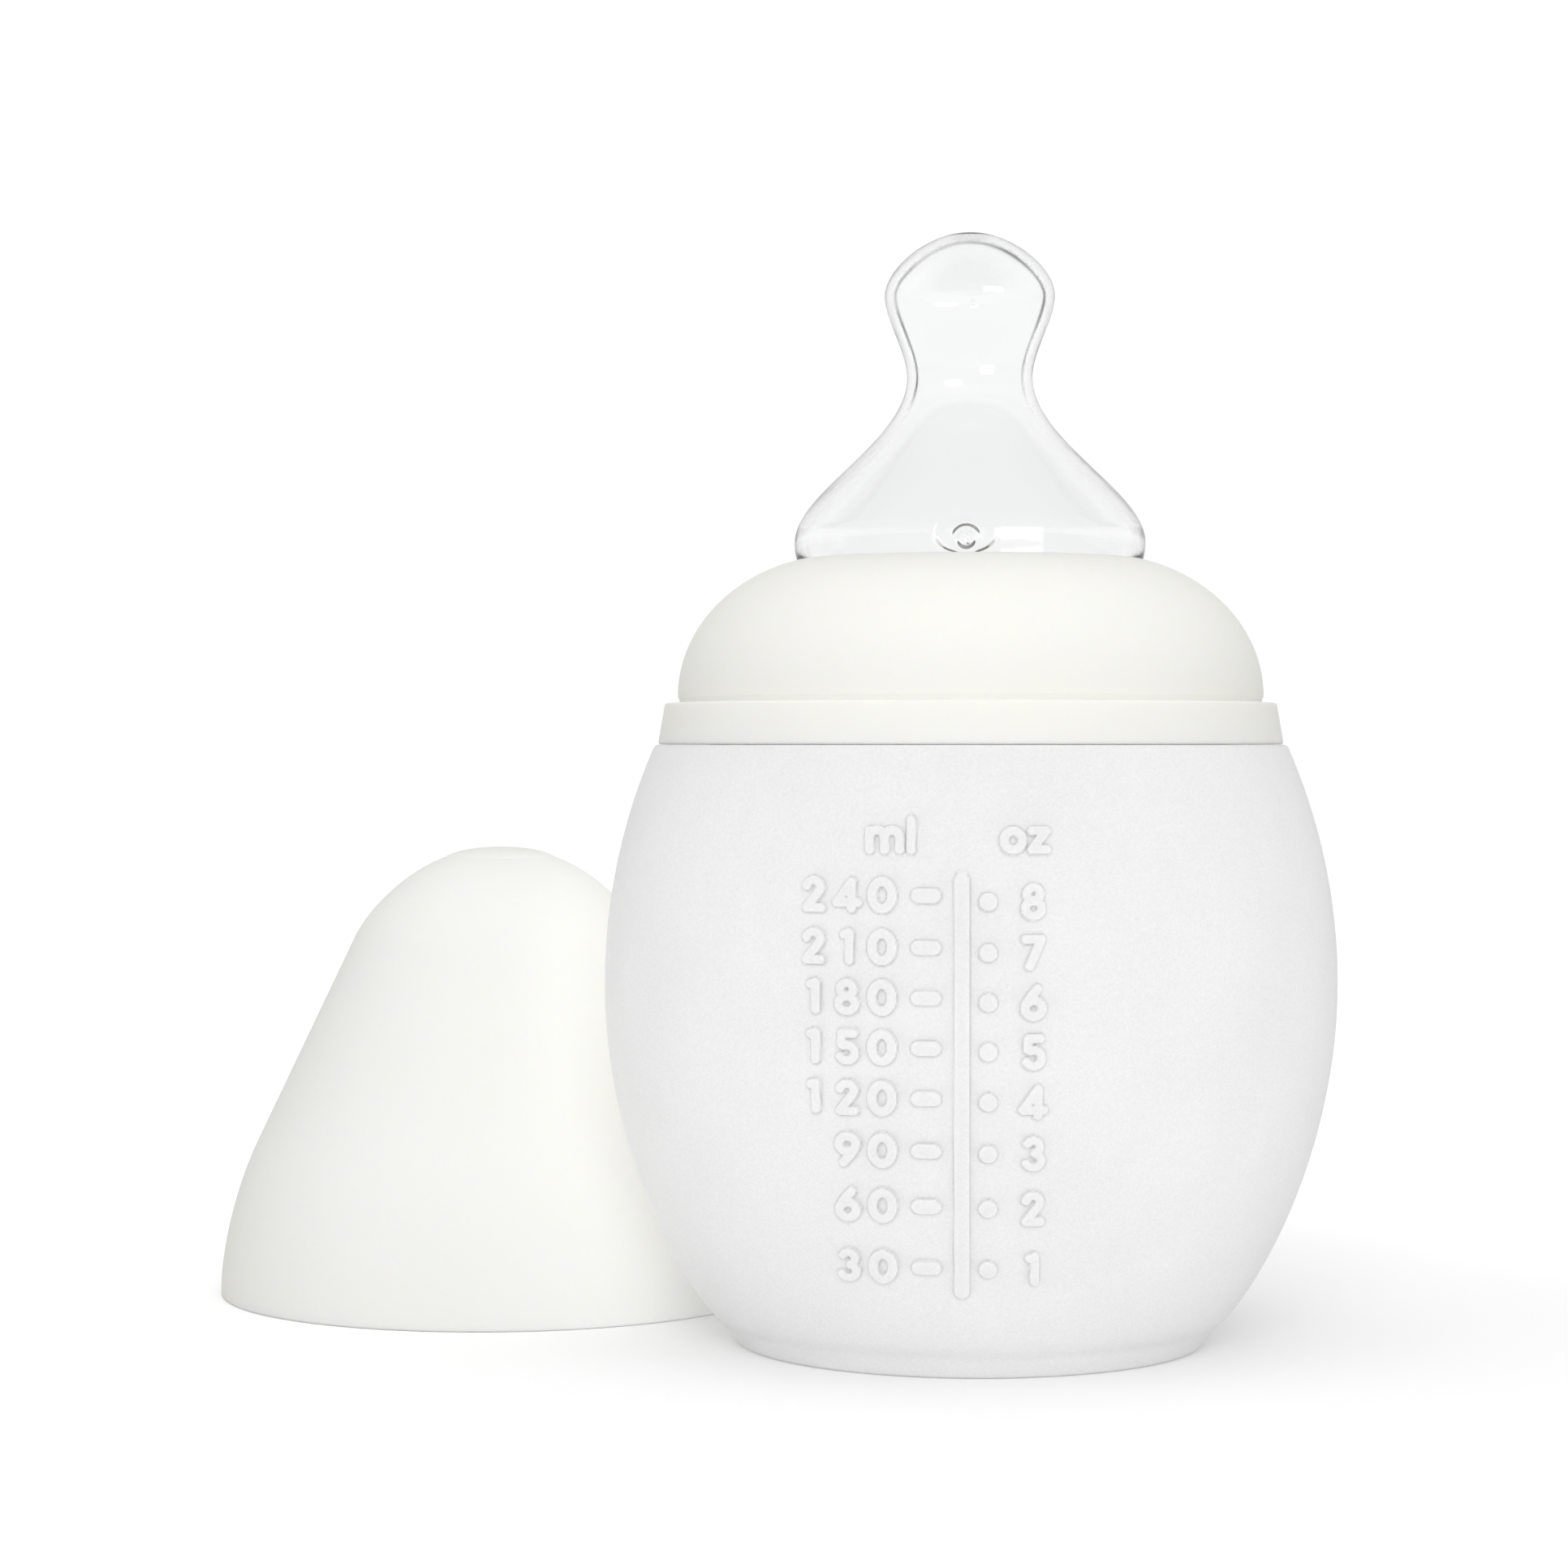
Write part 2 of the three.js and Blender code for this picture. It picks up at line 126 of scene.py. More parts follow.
# Graduations, as seen from the front
RELIEF = 0.45
RELIEF_EDGE = 0.12
FIGURE_GRID = 0.16
FIGURE_REACH = 2.3
FIGURE_BOX_HALF = (3.2, 3.6)
ARC_STEP = 12
DASH_VOLUMES = range(30, 241, 30)
OUNCE = 29.57
CUBIC_MM_PER_ML = 1000
OUNCE_MARKS = 8
DIGIT_CENTRES = (-17.04, -13.33, -9.5)
OUNCE_DIGIT_CENTRE = 6.94
DASH_CENTRE = -4.7
DASH_LENGTH = 3.4
DASH_WIDTH = 1.7
DOT_CENTRE = 2.05
DOT_RADIUS = 1.05
BAR_CENTRE = -0.8
BAR_WIDTH = 1.8
BAR_LOW = 10.4
BAR_HIGH = 57.9
UNIT_HEIGHT = 61.4
UNIT_LETTERS = {"m": -9.25, "l": -6.35, "o": 4.75, "z": 7.58}
OTHER_FINE_HEIGHTS = (UNIT_HEIGHT - 0.3, UNIT_HEIGHT + 0.4, BAR_LOW + 1)

# Collar
SHOULDER_GAP = 0.03
BAND_BOTTOM = SHOULDER_HEIGHT + SHOULDER_GAP
BAND_TOP = 76.9
BAND_BOTTOM_RADIUS = COLLAR_HIGH.x
BAND_TOP_RADIUS = 36.75
BAND_LEAN = (BAND_TOP_RADIUS - BAND_BOTTOM_RADIUS) / (BAND_TOP - BAND_BOTTOM)
BAND_ROUND = 0.35
BAND_FOOT_ROUND = 0.45
GROOVE_RADIUS = 35
GROOVE_TOP = 77.6
GROOVE_CHAMFER = 0.3
DOME_CENTRE = 15.6
DOME_BASE = 77.7
DOME_REACH = 19.6
DOME_RISE = 17
DOME_START = math.radians(2)
DOME_FOOT = DOME_BASE + 0.6
HOLE_ROUND = 0.5
HOLE_TRIM = 0.02  # radians of the dome's arcs given up to the hole's round edge
HOLE_LIP = 0.1
COLLAR_WALL = 2
COLLAR_BORE = 32.9
TEAT_HOLE = 20.7

# Teat
TEAT_TIP = TEAT_HIGH.z
BULB = (10.25, 126)
WAIST = (7.55, 116.2)
BREAST = (21.12, 96.2)
TEAT_FOOT = (20.55, 93.7)
TEAT_WALL = 1.2
TEAT_TIP_WALL = 1.5
TEAT_SKIRT_WALL = 1.5
TEAT_NECK_RADIUS = 20.4
TEAT_NECK_BORE = 19.3
TEAT_CLEARANCE = 0.1
TEAT_HANDLES = {
    "foot": ((0.35, 0.25), (0, -1.1)),
    "breast": ((0, 6.2), (0, -7.8)),
    "waist": ((0, 3), (0, -2.8)),
    "bulb": ((0, 3.1), (5.2, 0)),
    "inner tip": ((-1.2, 0.2), (1, 0)),
    "throat": ((0.05, -2), (0, 1.5)),
    "hem": ((0, -1), (-0.8, 0.3)),
}
TEAT_TIP_ROWS = 4
TEAT_LINING_TOP = 2.2
SKIRT_END_GAP = 0.5
THROAT_DROP = 2.5
FLANGE_CORNER_CUT = 0.1  # what the round takes off the flange's corner
FLANGE_RADIUS = TEAT_HIGH.x + FLANGE_CORNER_CUT
FLANGE_BOTTOM = TEAT_LOW.z
FLANGE_EDGE = 0.6
FLANGE_ROUND = 0.3
CLAMP_ROUND = 0.4
CLAMP_STEP = 0.3

# Cap
CAP_RADIUS = (CAP_HIGH.y - CAP_LOW.y) / 2
CAP_CENTRE = (CAP_LOW + CAP_HIGH) / 2
CAP_HEIGHT = CAP_HIGH.z
CAP_RIM_TOP = 0.4
CAP_RIM_HANDLE = (0, 6.3)
CAP_CURVE_TOP = (31.7, 20.1)
CAP_CURVE_REACH = 5.9
CAP_CONE_TOP = (19.04, 46.7)
CAP_CONE_LEAN = math.radians(25.5)
CAP_CONE_REACH = 3.5
CAP_SHOULDER = (7.2, 57.1)
CAP_SHOULDER_SLOPE = math.radians(20)
CAP_SHOULDER_REACH = 6
BUTTON_HANDLES = ((-1.1, 0.75), (3.5, 0))
CAP_WALL = 1.15
CAP_INSIDE_LOW = 1.5
CAP_INSIDE_TOP = 0.5
CAP_RIM_ROUND = 0.35
SNAP_COUNT = 4
SNAP_REACH = 0.45
SNAP_LOW = 0.1
SNAP_HIGH = 0.7
SNAP_FOOT_FADE = 0.1
SNAP_HEAD_FADE = 0.2
SNAP_END_FADE = 0.3
SNAP_ARC = 20
BORE_FOOT = 0.05

# Valve low on the teat's front, and the milk hole
VALVE_POCKET = (-0.49, 96.3)
VALVE_POCKET_HALF = (3.67, 2.42)
VALVE_POCKET_DEPTH = 0.19
VALVE_EYE = (-0.5, 95.9)
VALVE_EYE_HALF = (3.4, 1.96)
VALVE_EYE_DEPTH = 0.08
VALVE_BOSS = (-0.4, 95.6)
VALVE_BOSS_RADIUS = 1.64
VALVE_BOSS_HEIGHT = 0.28
VALVE_CUP_RADIUS = 1.03
VALVE_CUP_DEPTH = 0.45
VALVE_SLIT = ((-0.38, 96.25), (-0.2, 95.05))
VALVE_SLIT_HALF_WIDTH = 0.09
VALVE_SLIT_DEPTH = 0.3
VALVE_SLIT_EDGE = 0.06
VALVE_EDGE = 0.2
VALVE_REACH = 4
VALVE_FINE_REACH = 2.8
MILK_HOLE = (0.45, 123.8)
MILK_HOLE_RADIUS = 0.38
MILK_HOLE_DEPTH = 0.4
MILK_HOLE_EDGE = 0.1
MILK_HOLE_FINE_REACH = 0.7

# Camera, millimetres from the body's axis and the table
CAMERA_PLACE = (0, -441.6, 72.1)
CAMERA_PITCH = math.radians(-0.644)
CAMERA_YAW = math.radians(2.908)
CAMERA_LENS = 83.85
CAMERA_SENSOR = 36

# Studio, in metres
FLOOR_REACH = 6
FLOOR_TINTS = ((0.9, 0.9, 0.9), (0.92, 0.92, 0.92))
FLOOR_TINT_SCALE = 3
FLOOR_BOUNCE = (0.78, 0.78, 0.78)
# Painted light: the floor's seen glow rises with distance from the bottle's axis, so the floor stays darker
# round the pieces
FLOOR_NEAR = 0.03
FLOOR_FAR = 0.25
FLOOR_NEAR_LIFT = 0.11
FLOOR_FAR_LIFT = 0.45
WORLD_LIGHT = 0.65
WORLD_SEEN = 1.02
CEILING_SEEN = 0.85
BACKDROP_TOP = math.radians(42)
BACKDROP_SOFTNESS = math.radians(12)

# Softboxes: place, target, (width, height) and watts, in metres
SOFTBOXES = {
    "front_softbox": ((0.03, -1.4, 0.6), (0, 0, 0.06), (0.8, 0.8), 8.2),
    "low_right_softbox": ((0.72, -1.2, 0.12), (0, 0, 0.1), (0.8, 0.35), 0.4),
    "top_softbox": ((0, -0.1, 1.2), (0, 0, 0), (0.8, 0.8), 2.2),
    "left_foot_softbox": ((-0.8, -0.2, -0.5), (0, 0, 0.01), (0.5, 0.5), 1.7),
    "right_foot_softbox": ((0.8, -0.2, -0.5), (0, 0, 0.01), (0.5, 0.5), 1.7),
    "teat_softbox": ((0.72, -1.2, 0.1), (0, 0, 0.1), (0.6, 0.36), 5),
    "cap_softbox": ((0.9, 0.15, -0.1), CAP_CENTRE * MM, (0.5, 0.5), 3.6),
}

# Materials: scales are in waves per metre, reliefs in metres, and depths are how far light travels, in metres
NOISE_LOW, NOISE_HIGH = 0.3, 0.7
SILICONE_IOR = 1.41

# Frosted silicone
SURFACE_DEPTH = 0.0006
INSIDE_DEPTH = 0.004
GRAIN_SCALE = 3500
GRAIN_RELIEF = 0.00003
GRAIN_TINTS = ((0.84, 0.84, 0.84), (0.92, 0.92, 0.92))
MOTTLE_SCALE = 90
MOTTLE_RELIEF = 0.0001
MOTTLE_TINTS = ((0.975, 0.975, 0.975), (1, 1, 1))
FROSTED_ROUGHNESS = (0.42, 0.6)
# Painted shade round the raised lettering: its edges, and faintly its faces, are darkened towards this tint
CREASE_SHADE_TINT = (0.74, 0.74, 0.74)
FACE_SHADE = 0.08

# Clear silicone
CLEAR_TINT = (0.962, 0.964, 0.966)
CLEAR_ROUGHNESS = (0.03, 0.08)
RIPPLE_SCALE = 160
RIPPLE_RELIEF = 0.00003
HAZE_SCALE = 900
# Painted shade: a dark line on the teat's inner surface where light grazes it
OUTLINE_SHADE_TINT = (0.03, 0.03, 0.03)
OUTLINE_FACING = (0.266, 0.292, 0.32)
OUTLINE_LOW = 110
OUTLINE_FADE = 5
OUTLINE_BREAKS_SCALE = 130
OUTLINE_FAINTEST = 0.25

# Ivory plastic
IVORY_TINTS = ((0.884, 0.879, 0.838), (0.899, 0.895, 0.86))
IVORY_ROUGHNESS = (0.36, 0.44)
IVORY_DRIFT_SCALE = 25
IVORY_DRIFT_RELIEF = 0.0001
IVORY_GRAIN_SCALE = 2600
IVORY_GRAIN_RELIEF = 0.000012
IVORY_DEPTH = 0.0015
IVORY_DEPTH_TINT = (1, 0.95, 0.6)
IVORY_SHEEN_TINT = (1, 0.98, 0.8, 1)


# ---- outlines: arrays of (radius, height) -----------------------------------------------------------------


def bend(start, start_handle, end_handle, end, steps):
    """A cubic curve between two points, each with the offset of its handle."""
    start, end = np.array(start, float), np.array(end, float)
    first, second = start + start_handle, end + end_handle
    t = np.linspace(0, 1, steps + 1)[:, None]
    return (1 - t) ** 3 * start + 3 * (1 - t) ** 2 * t * first + 3 * (1 - t) * t**2 * second + t**3 * end


def ellipse_arc(centre, height, reach, rise, start, end, steps):
    """An arc of an ellipse with upright axes, about a centre at a radius and a height."""
    angle = np.linspace(start, end, steps + 1)
    return np.stack([centre + reach * np.cos(angle), height + rise * np.sin(angle)], axis=1)


def tangents(outline):
    """The direction of an outline at each of its points, of length 1."""
    along = np.gradient(outline, axis=0)
    return along / np.maximum(np.linalg.norm(along, axis=1, keepdims=True), 1e-9)


def inset(outline, wall):
    """An upward outline moved towards the axis by a wall's thickness."""
    along = tangents(outline)
    return outline + wall * np.stack([-along[:, 1], along[:, 0]], axis=1)


def rounded(corners, radius, steps=5):
    """A polyline with an arc in place of each inner corner."""
    corners = [np.array(c, float) for c in corners]
    made = [corners[0]]
    for before, corner, after in zip(corners, corners[1:], corners[2:]):
        back, ahead = before - corner, after - corner
        reach = min(radius, CORNER_SHARE * np.linalg.norm(back), CORNER_SHARE * np.linalg.norm(ahead))
        start = corner + back / np.linalg.norm(back) * reach
        end = corner + ahead / np.linalg.norm(ahead) * reach
        t = np.linspace(0, 1, steps + 1)[:, None]
        made.extend((1 - t) ** 2 * start + 2 * (1 - t) * t * corner + t**2 * end)
    made.append(corners[-1])
    return np.array(made)


def joined(*outlines):
    """Outlines end to end, with points that repeat left out."""
    points = np.concatenate([np.atleast_2d(np.array(o, float)) for o in outlines])
    apart = np.linalg.norm(np.diff(points, axis=0), axis=1) > 1e-4
    return points[np.concatenate([[True], apart])]


def respaced(outline, spacing):
    """The same outline with points spaced along it as spacing(height) says."""
    length = np.concatenate([[0], np.cumsum(np.linalg.norm(np.diff(outline, axis=0), axis=1))])
    fine = np.linspace(0, length[-1], FINE_SAMPLES)
    radius, height = (np.interp(fine, length, outline[:, k]) for k in (0, 1))
    density = 1 / spacing(height)
    share = np.concatenate([[0], np.cumsum((density[1:] + density[:-1]) / 2 * np.diff(fine))])
    stops = np.interp(np.linspace(0, share[-1], int(share[-1]) + 2), share, fine)
    return np.stack([np.interp(stops, fine, radius), np.interp(stops, fine, height)], axis=1)


def even(spacing):
    """A spacing rule: the same spacing at every height."""
    return lambda height: np.full(len(height), spacing)


def angles(fine_low, fine_high, fine_step, coarse_step):
    """Angles once round the axis in degrees, close together in one sector."""
    fine = np.arange(fine_low, fine_high, fine_step)
    coarse = np.arange(fine_high, fine_low + 360 - coarse_step / 2, coarse_step)
    return np.radians(np.concatenate([fine, coarse]))


# ---- meshes -----------------------------------------------------------------------------------------------


class Turned:
    """A surface of revolution as a grid of points, which can be pushed in or out before it becomes a mesh."""

    def __init__(self, outline, turn, sparse_rows=None, sparse_step=0):
        self.outline, self.turn = outline, turn
        along = tangents(outline)
        self.normal = np.stack([along[:, 1], -along[:, 0]], axis=1)
        self.push = np.zeros((len(outline), len(turn)))
        self.crease = np.zeros((len(outline), len(turn)))
        self.sparse_rows = np.zeros(len(outline), bool) if sparse_rows is None else sparse_rows
        self.sparse_columns = spread_out(turn, sparse_step)

    def front(self):
        """Each point's X and Z, as the graduations see them from the front."""
        x = self.outline[:, :1] * np.sin(self.turn)[None, :]
        return x, np.repeat(self.outline[:, 1:], len(self.turn), axis=1)

    def points(self):
        """Each point's place, in millimetres about the axis."""
        radius = self.outline[:, :1] + self.push * self.normal[:, :1]
        height = self.outline[:, 1:] + self.push * self.normal[:, 1:]
        return np.stack([radius * np.sin(self.turn), -radius * np.cos(self.turn), height], axis=-1)

    def mesh_object(self, name, place=(0, 0, 0)):
        """A closed mesh: a ring for each row, and a single point where the outline meets the axis."""
        points = (self.points() + np.array(place)) * MM
        closed = np.allclose(self.outline[0], self.outline[-1])
        rows = range(len(points) - 1) if closed else range(1, len(points) - 1)
        everything = np.arange(len(self.turn))
        vertices, crease_shades, rings = [], [], []
        for row in rows:
            columns = self.sparse_columns if self.sparse_rows[row] else everything
            rings.append((len(vertices), columns))
            vertices.extend(points[row, columns])
            crease_shades.extend(self.crease[row, columns])
        pairs = list(zip(rings, rings[1:]))
        if closed:
            pairs.append((rings[-1], rings[0]))
        faces = [face for low, high in pairs for face in strip(low, high, len(self.turn))]
        if not closed:
            for row, (first, columns), flip in ((0, rings[0], True), (-1, rings[-1], False)):
                tip = len(vertices)
                vertices.append(points[row].mean(axis=0))
                ring = first + np.arange(len(columns))
                fan = zip(ring.tolist(), np.roll(ring, -1).tolist())
                faces += [(b, a, tip) if flip else (a, b, tip) for a, b in fan]
        mesh = bpy.data.meshes.new(name)
        mesh.from_pydata(np.array(vertices).tolist(), [], faces)
        mesh.set_sharp_from_angle(angle=SHARP_EDGE)
        # painted shade for the lettering's edges, kept on the mesh for the material
        if self.crease.any():
            marks = mesh.attributes.new("crease", "FLOAT", "POINT")
            marks.data.foreach_set("value", np.pad(crease_shades, (0, len(vertices) - len(crease_shades))))
        made = bpy.data.objects.new(name, mesh)
        bpy.context.scene.collection.objects.link(made)
        return made


def spread_out(turn, step):
    """The columns that stay when neighbours closer than a step in degrees are left out."""
    kept = [0]
    for column in range(1, len(turn)):
        if math.degrees(turn[column] - turn[kept[-1]]) >= step:
            kept.append(column)
    return np.array(kept)


def strip(low, high, count):
    """The faces between two rings, each (first vertex, columns), where either may hold every column."""
    (low_first, low_columns), (high_first, high_columns) = low, high
    shared = np.intersect1d(low_columns, high_columns)
    faces = []
    for here, there in zip(shared, np.append(shared[1:], shared[0] + count)):
        along = [low_first + k for k in positions(low_columns, here, there, count)]
        back = [high_first + k for k in positions(high_columns, here, there, count)]
        faces.append(along + back[::-1])
    return faces


def positions(columns, here, there, count):
    """Where in a ring's vertices the columns from one to another stand, the last possibly past the seam."""
    first = int(np.searchsorted(columns, here))
    last = int(np.searchsorted(columns, there)) if there < count else len(columns)
    return [k % len(columns) for k in range(first, last + 1)]


def smooth_step(value, low, high):
    """0 below a range, 1 above it, and a soft step between."""
    share = np.clip((value - low) / (high - low), 0, 1)
    return share * share * (3 - 2 * share)


def thread_push(grid, start_height, rise, rows):
    """Raises a right-handed helical ridge of trapezoid section on the chosen rows of a grid."""
    turn = (np.degrees(grid.turn) - THREAD_START_ANGLE) % 360 / 360
    height = grid.outline[:, 1:]
    best = np.zeros_like(grid.push)
    for lap in range(math.ceil(THREAD_TURNS) + 1):
        wound = turn[None, :] + lap
        share = wound / THREAD_TURNS
        fade = np.clip(np.minimum(share, 1 - share) / THREAD_FADE, 0, 1)
        away = np.abs(height - start_height - wound * THREAD_LEAD)
        ridge = 1 - smooth_step(away, THREAD_CREST_WIDTH / 2, THREAD_ROOT_WIDTH / 2)
        best = np.maximum(best, ridge * fade)
    grid.push[rows] += rise * best[rows]


# ---- lettering: strokes of even width in millimetres about each figure's middle ---------------------------


def arc(x, z, reach, rise, start, end):
    """Points of an arc, with angles in degrees anticlockwise from the right."""
    steps = max(4, int(abs(end - start) / ARC_STEP))
    turn = np.radians(np.linspace(start, end, steps + 1))
    return [(x + reach * math.cos(t), z + rise * math.sin(t)) for t in turn]


SIX = [arc(0, -0.62, 0.93, 0.86, 0, 360), [(0.42, 1.5), (-0.25, 0.72), (-0.8, -0.15)]]
FIGURES = {
    "0": (0.58, [arc(0, 0, 1.1, 1.48, 0, 360)]),
    "1": (0.55, [[(0.25, 1.45), (0.25, -1.45)], [(-0.32, 1.32), (0.2, 1.5)]]),
    "2": (0.54, [arc(0, 0.78, 0.78, 0.74, 170, -35) + [(-0.78, -1.48), (0.82, -1.48)]]),
    "3": (0.52, [arc(0, 0.82, 0.72, 0.7, 150, -70), arc(0, -0.72, 0.86, 0.78, 75, -155)]),
    "4": (0.55, [[(0.5, -1.45), (0.5, 1.42), (-1.12, -0.85), (1.14, -0.85)]]),
    "5": (0.54, [[(0.75, 1.5), (-0.55, 1.5), (-0.62, 0.3)] + arc(0, -0.64, 0.88, 0.86, 115, -150)]),
    "6": (0.56, SIX),
    "7": (0.55, [[(-0.85, 1.48), (0.85, 1.48), (-0.42, -1.45)]]),
    "8": (0.53, [arc(0, 0.84, 0.72, 0.7, 0, 360), arc(0, -0.74, 0.9, 0.8, 0, 360)]),
    "9": (0.56, [[(-x, -z) for x, z in stroke] for stroke in SIX]),
    "m": (
        0.56,
        [
            [(-1.65, 1.0), (-1.65, -1.05)],
            arc(-0.83, 0.25, 0.82, 0.82, 160, 0) + [(0, -1.05)],
            arc(0.83, 0.25, 0.82, 0.82, 160, 0) + [(1.65, -1.05)],
        ],
    ),
    "l": (0.56, [[(0, 2.15), (0, -1.05)]]),
    "o": (0.56, [arc(0, -0.02, 0.99, 1.02, 0, 360)]),
    "z": (0.55, [[(-0.8, 1.02), (0.78, 1.02), (-0.8, -1.02), (0.8, -1.02)]]),
    "dash": (DASH_WIDTH / 2, [[(-(DASH_LENGTH - DASH_WIDTH) / 2, 0), ((DASH_LENGTH - DASH_WIDTH) / 2, 0)]]),
    "dot": (DOT_RADIUS, [[(0, 0), (0, 0)]]),
}


def stroke_distance(x, z, stroke):
    """How far points are from a polyline."""
    best = np.full(x.shape, np.inf)
    for (ax, az), (bx, bz) in zip(stroke, stroke[1:]):
        length = max((bx - ax) ** 2 + (bz - az) ** 2, 1e-9)
        share = np.clip(((x - ax) * (bx - ax) + (z - az) * (bz - az)) / length, 0, 1)
        best = np.minimum(best, np.hypot(x - ax - share * (bx - ax), z - az - share * (bz - az)))
    return best


def raise_figure(grid, name, centre_x, centre_z, rows):
    """Raises one figure on the front of a grid."""
    half_width, strokes = FIGURES[name]
    x, z = grid.front()
    facing = np.cos(grid.turn)[None, :] > 0
    near = facing & (np.abs(x - centre_x) < FIGURE_BOX_HALF[0]) & (np.abs(z - centre_z) < FIGURE_BOX_HALF[1])
    near[~rows] = False
    outside = np.min([stroke_distance(x[near] - centre_x, z[near] - centre_z, s) for s in strokes], axis=0)
    height = RELIEF * (1 - smooth_step(outside - half_width, -RELIEF_EDGE, RELIEF_EDGE))
    grid.push[near] = np.maximum(grid.push[near], height)


def raise_bar(grid, rows):
    """Raises the long upright bar between the two scales."""
    x, z = grid.front()
    end = BAR_WIDTH / 2
    outside = stroke_distance(x, z, [(BAR_CENTRE, BAR_LOW + end), (BAR_CENTRE, BAR_HIGH - end)]) - end
    height = RELIEF * (1 - smooth_step(outside, -RELIEF_EDGE, RELIEF_EDGE))
    mask = rows[:, None] & (np.cos(grid.turn)[None, :] > 0)
    grid.push[mask] = np.maximum(grid.push[mask], height[mask])


def volume_height(inside, millilitres):
    """The height at which an inside outline holds a volume."""
    rise = np.diff(inside[:, 1])
    middle = (inside[1:, 0] + inside[:-1, 0]) / 2
    held = np.concatenate([[0], np.cumsum(np.pi * middle**2 * rise)]) / CUBIC_MM_PER_ML
    return float(np.interp(millilitres, held, inside[:, 1]))


# ---- materials --------------------------------------------------------------------------------------------


def new_material(name):
    """A material, its node tree and its main shader."""
    material = bpy.data.materials.new(name)
    material.use_nodes = True
    return material, material.node_tree, material.node_tree.nodes["Principled BSDF"]


def add_node(tree, kind, **values):
    """A node with some of its properties or input sockets set."""
    node = tree.nodes.new(kind)
    for key, value in values.items():
        if key in node.inputs:
            node.inputs[key].default_value = value
        else:
            setattr(node, key, value)
    return node


def noise(tree, scale, detail=2.0, roughness=0.5):
    """Three-dimensional noise in the piece's own space; scale is in waves per metre."""
    place = add_node(tree, "ShaderNodeTexCoord")
    texture = add_node(tree, "ShaderNodeTexNoise", Scale=scale, Detail=detail, Roughness=roughness)
    tree.links.new(place.outputs["Object"], texture.inputs["Vector"])
    return texture.outputs["Fac"]


def ranged(tree, value, low, high):
    """Noise spread between two numbers."""
    node = add_node(tree, "ShaderNodeMapRange")
    node.inputs["From Min"].default_value = NOISE_LOW
    node.inputs["From Max"].default_value = NOISE_HIGH
    node.inputs["To Min"].default_value = low
    node.inputs["To Max"].default_value = high
    tree.links.new(value, node.inputs["Value"])
    return node.outputs["Result"]


def tinted(tree, value, dark, light):
    """A colour between two, by noise."""
    ramp = add_node(tree, "ShaderNodeValToRGB")
    ramp.color_ramp.elements[0].position = NOISE_LOW
    ramp.color_ramp.elements[1].position = NOISE_HIGH
    ramp.color_ramp.elements[0].color = (*dark, 1)
    ramp.color_ramp.elements[1].color = (*light, 1)
    tree.links.new(value, ramp.inputs["Fac"])
    return ramp.outputs["Color"]


def between(tree, share, first, second):
    """A colour that goes from one to another as a share goes from 0 to 1."""
    mix = add_node(tree, "ShaderNodeMix", data_type="RGBA")
    tree.links.new(share, mix.inputs["Factor"])
    mix.inputs[6].default_value = (*first, 1)
    mix.inputs[7].default_value = (*second, 1)
    return mix.outputs[2]


def mixed_value(tree, share, low, high):
    """One value where the share is 0 and another where it is 1; each is a number or a socket."""
    mix = add_node(tree, "ShaderNodeMix", data_type="FLOAT")
    tree.links.new(share, mix.inputs[0])
    for index, value in ((2, low), (3, high)):
        if isinstance(value, bpy.types.NodeSocket):
            tree.links.new(value, mix.inputs[index])
        else:
            mix.inputs[index].default_value = value
    return mix.outputs[0]


def multiplied(tree, first, second):
    """Two colours multiplied."""
    mix = add_node(tree, "ShaderNodeMix", data_type="RGBA", blend_type="MULTIPLY")
    mix.inputs["Factor"].default_value = 1
    tree.links.new(first, mix.inputs[6])
    tree.links.new(second, mix.inputs[7])
    return mix.outputs[2]


def bumped(tree, shader, *layers):
    """Fine relief on the shader's normal: each layer is (height value, distance in metres)."""
    normal = None
    for value, distance in layers:
        bump = add_node(tree, "ShaderNodeBump", Strength=1.0, Distance=distance)
        tree.links.new(value, bump.inputs["Height"])
        if normal is not None:
            tree.links.new(normal, bump.inputs["Normal"])
        normal = bump.outputs["Normal"]
    tree.links.new(normal, shader.inputs["Normal"])


def frosted_silicone(name, light_depth):
    """Matt white silicone; painted shade darkens the raised lettering's edges a little."""
    material, tree, shader = new_material(name)
    grain = noise(tree, GRAIN_SCALE, detail=3, roughness=0.7)
    mottle = noise(tree, MOTTLE_SCALE, detail=3)
    speckle = tinted(tree, grain, *GRAIN_TINTS)
    cloud = tinted(tree, mottle, *MOTTLE_TINTS)
    # painted shade along the lettering's edges, read from the mesh
    crease = add_node(tree, "ShaderNodeAttribute", attribute_name="crease")
    edge = between(tree, crease.outputs["Fac"], (1, 1, 1), CREASE_SHADE_TINT)
    colour = multiplied(tree, multiplied(tree, speckle, cloud), edge)
    tree.links.new(colour, shader.inputs["Base Color"])
    tree.links.new(ranged(tree, grain, *FROSTED_ROUGHNESS), shader.inputs["Roughness"])
    shader.inputs["Subsurface Weight"].default_value = 1
    shader.inputs["Subsurface Radius"].default_value = (1, 1, 1)
    shader.inputs["Subsurface Scale"].default_value = light_depth
    shader.inputs["IOR"].default_value = SILICONE_IOR
    shader.inputs["Specular IOR Level"].default_value = 0.4
    bumped(tree, shader, (grain, GRAIN_RELIEF), (mottle, MOTTLE_RELIEF))
    return material


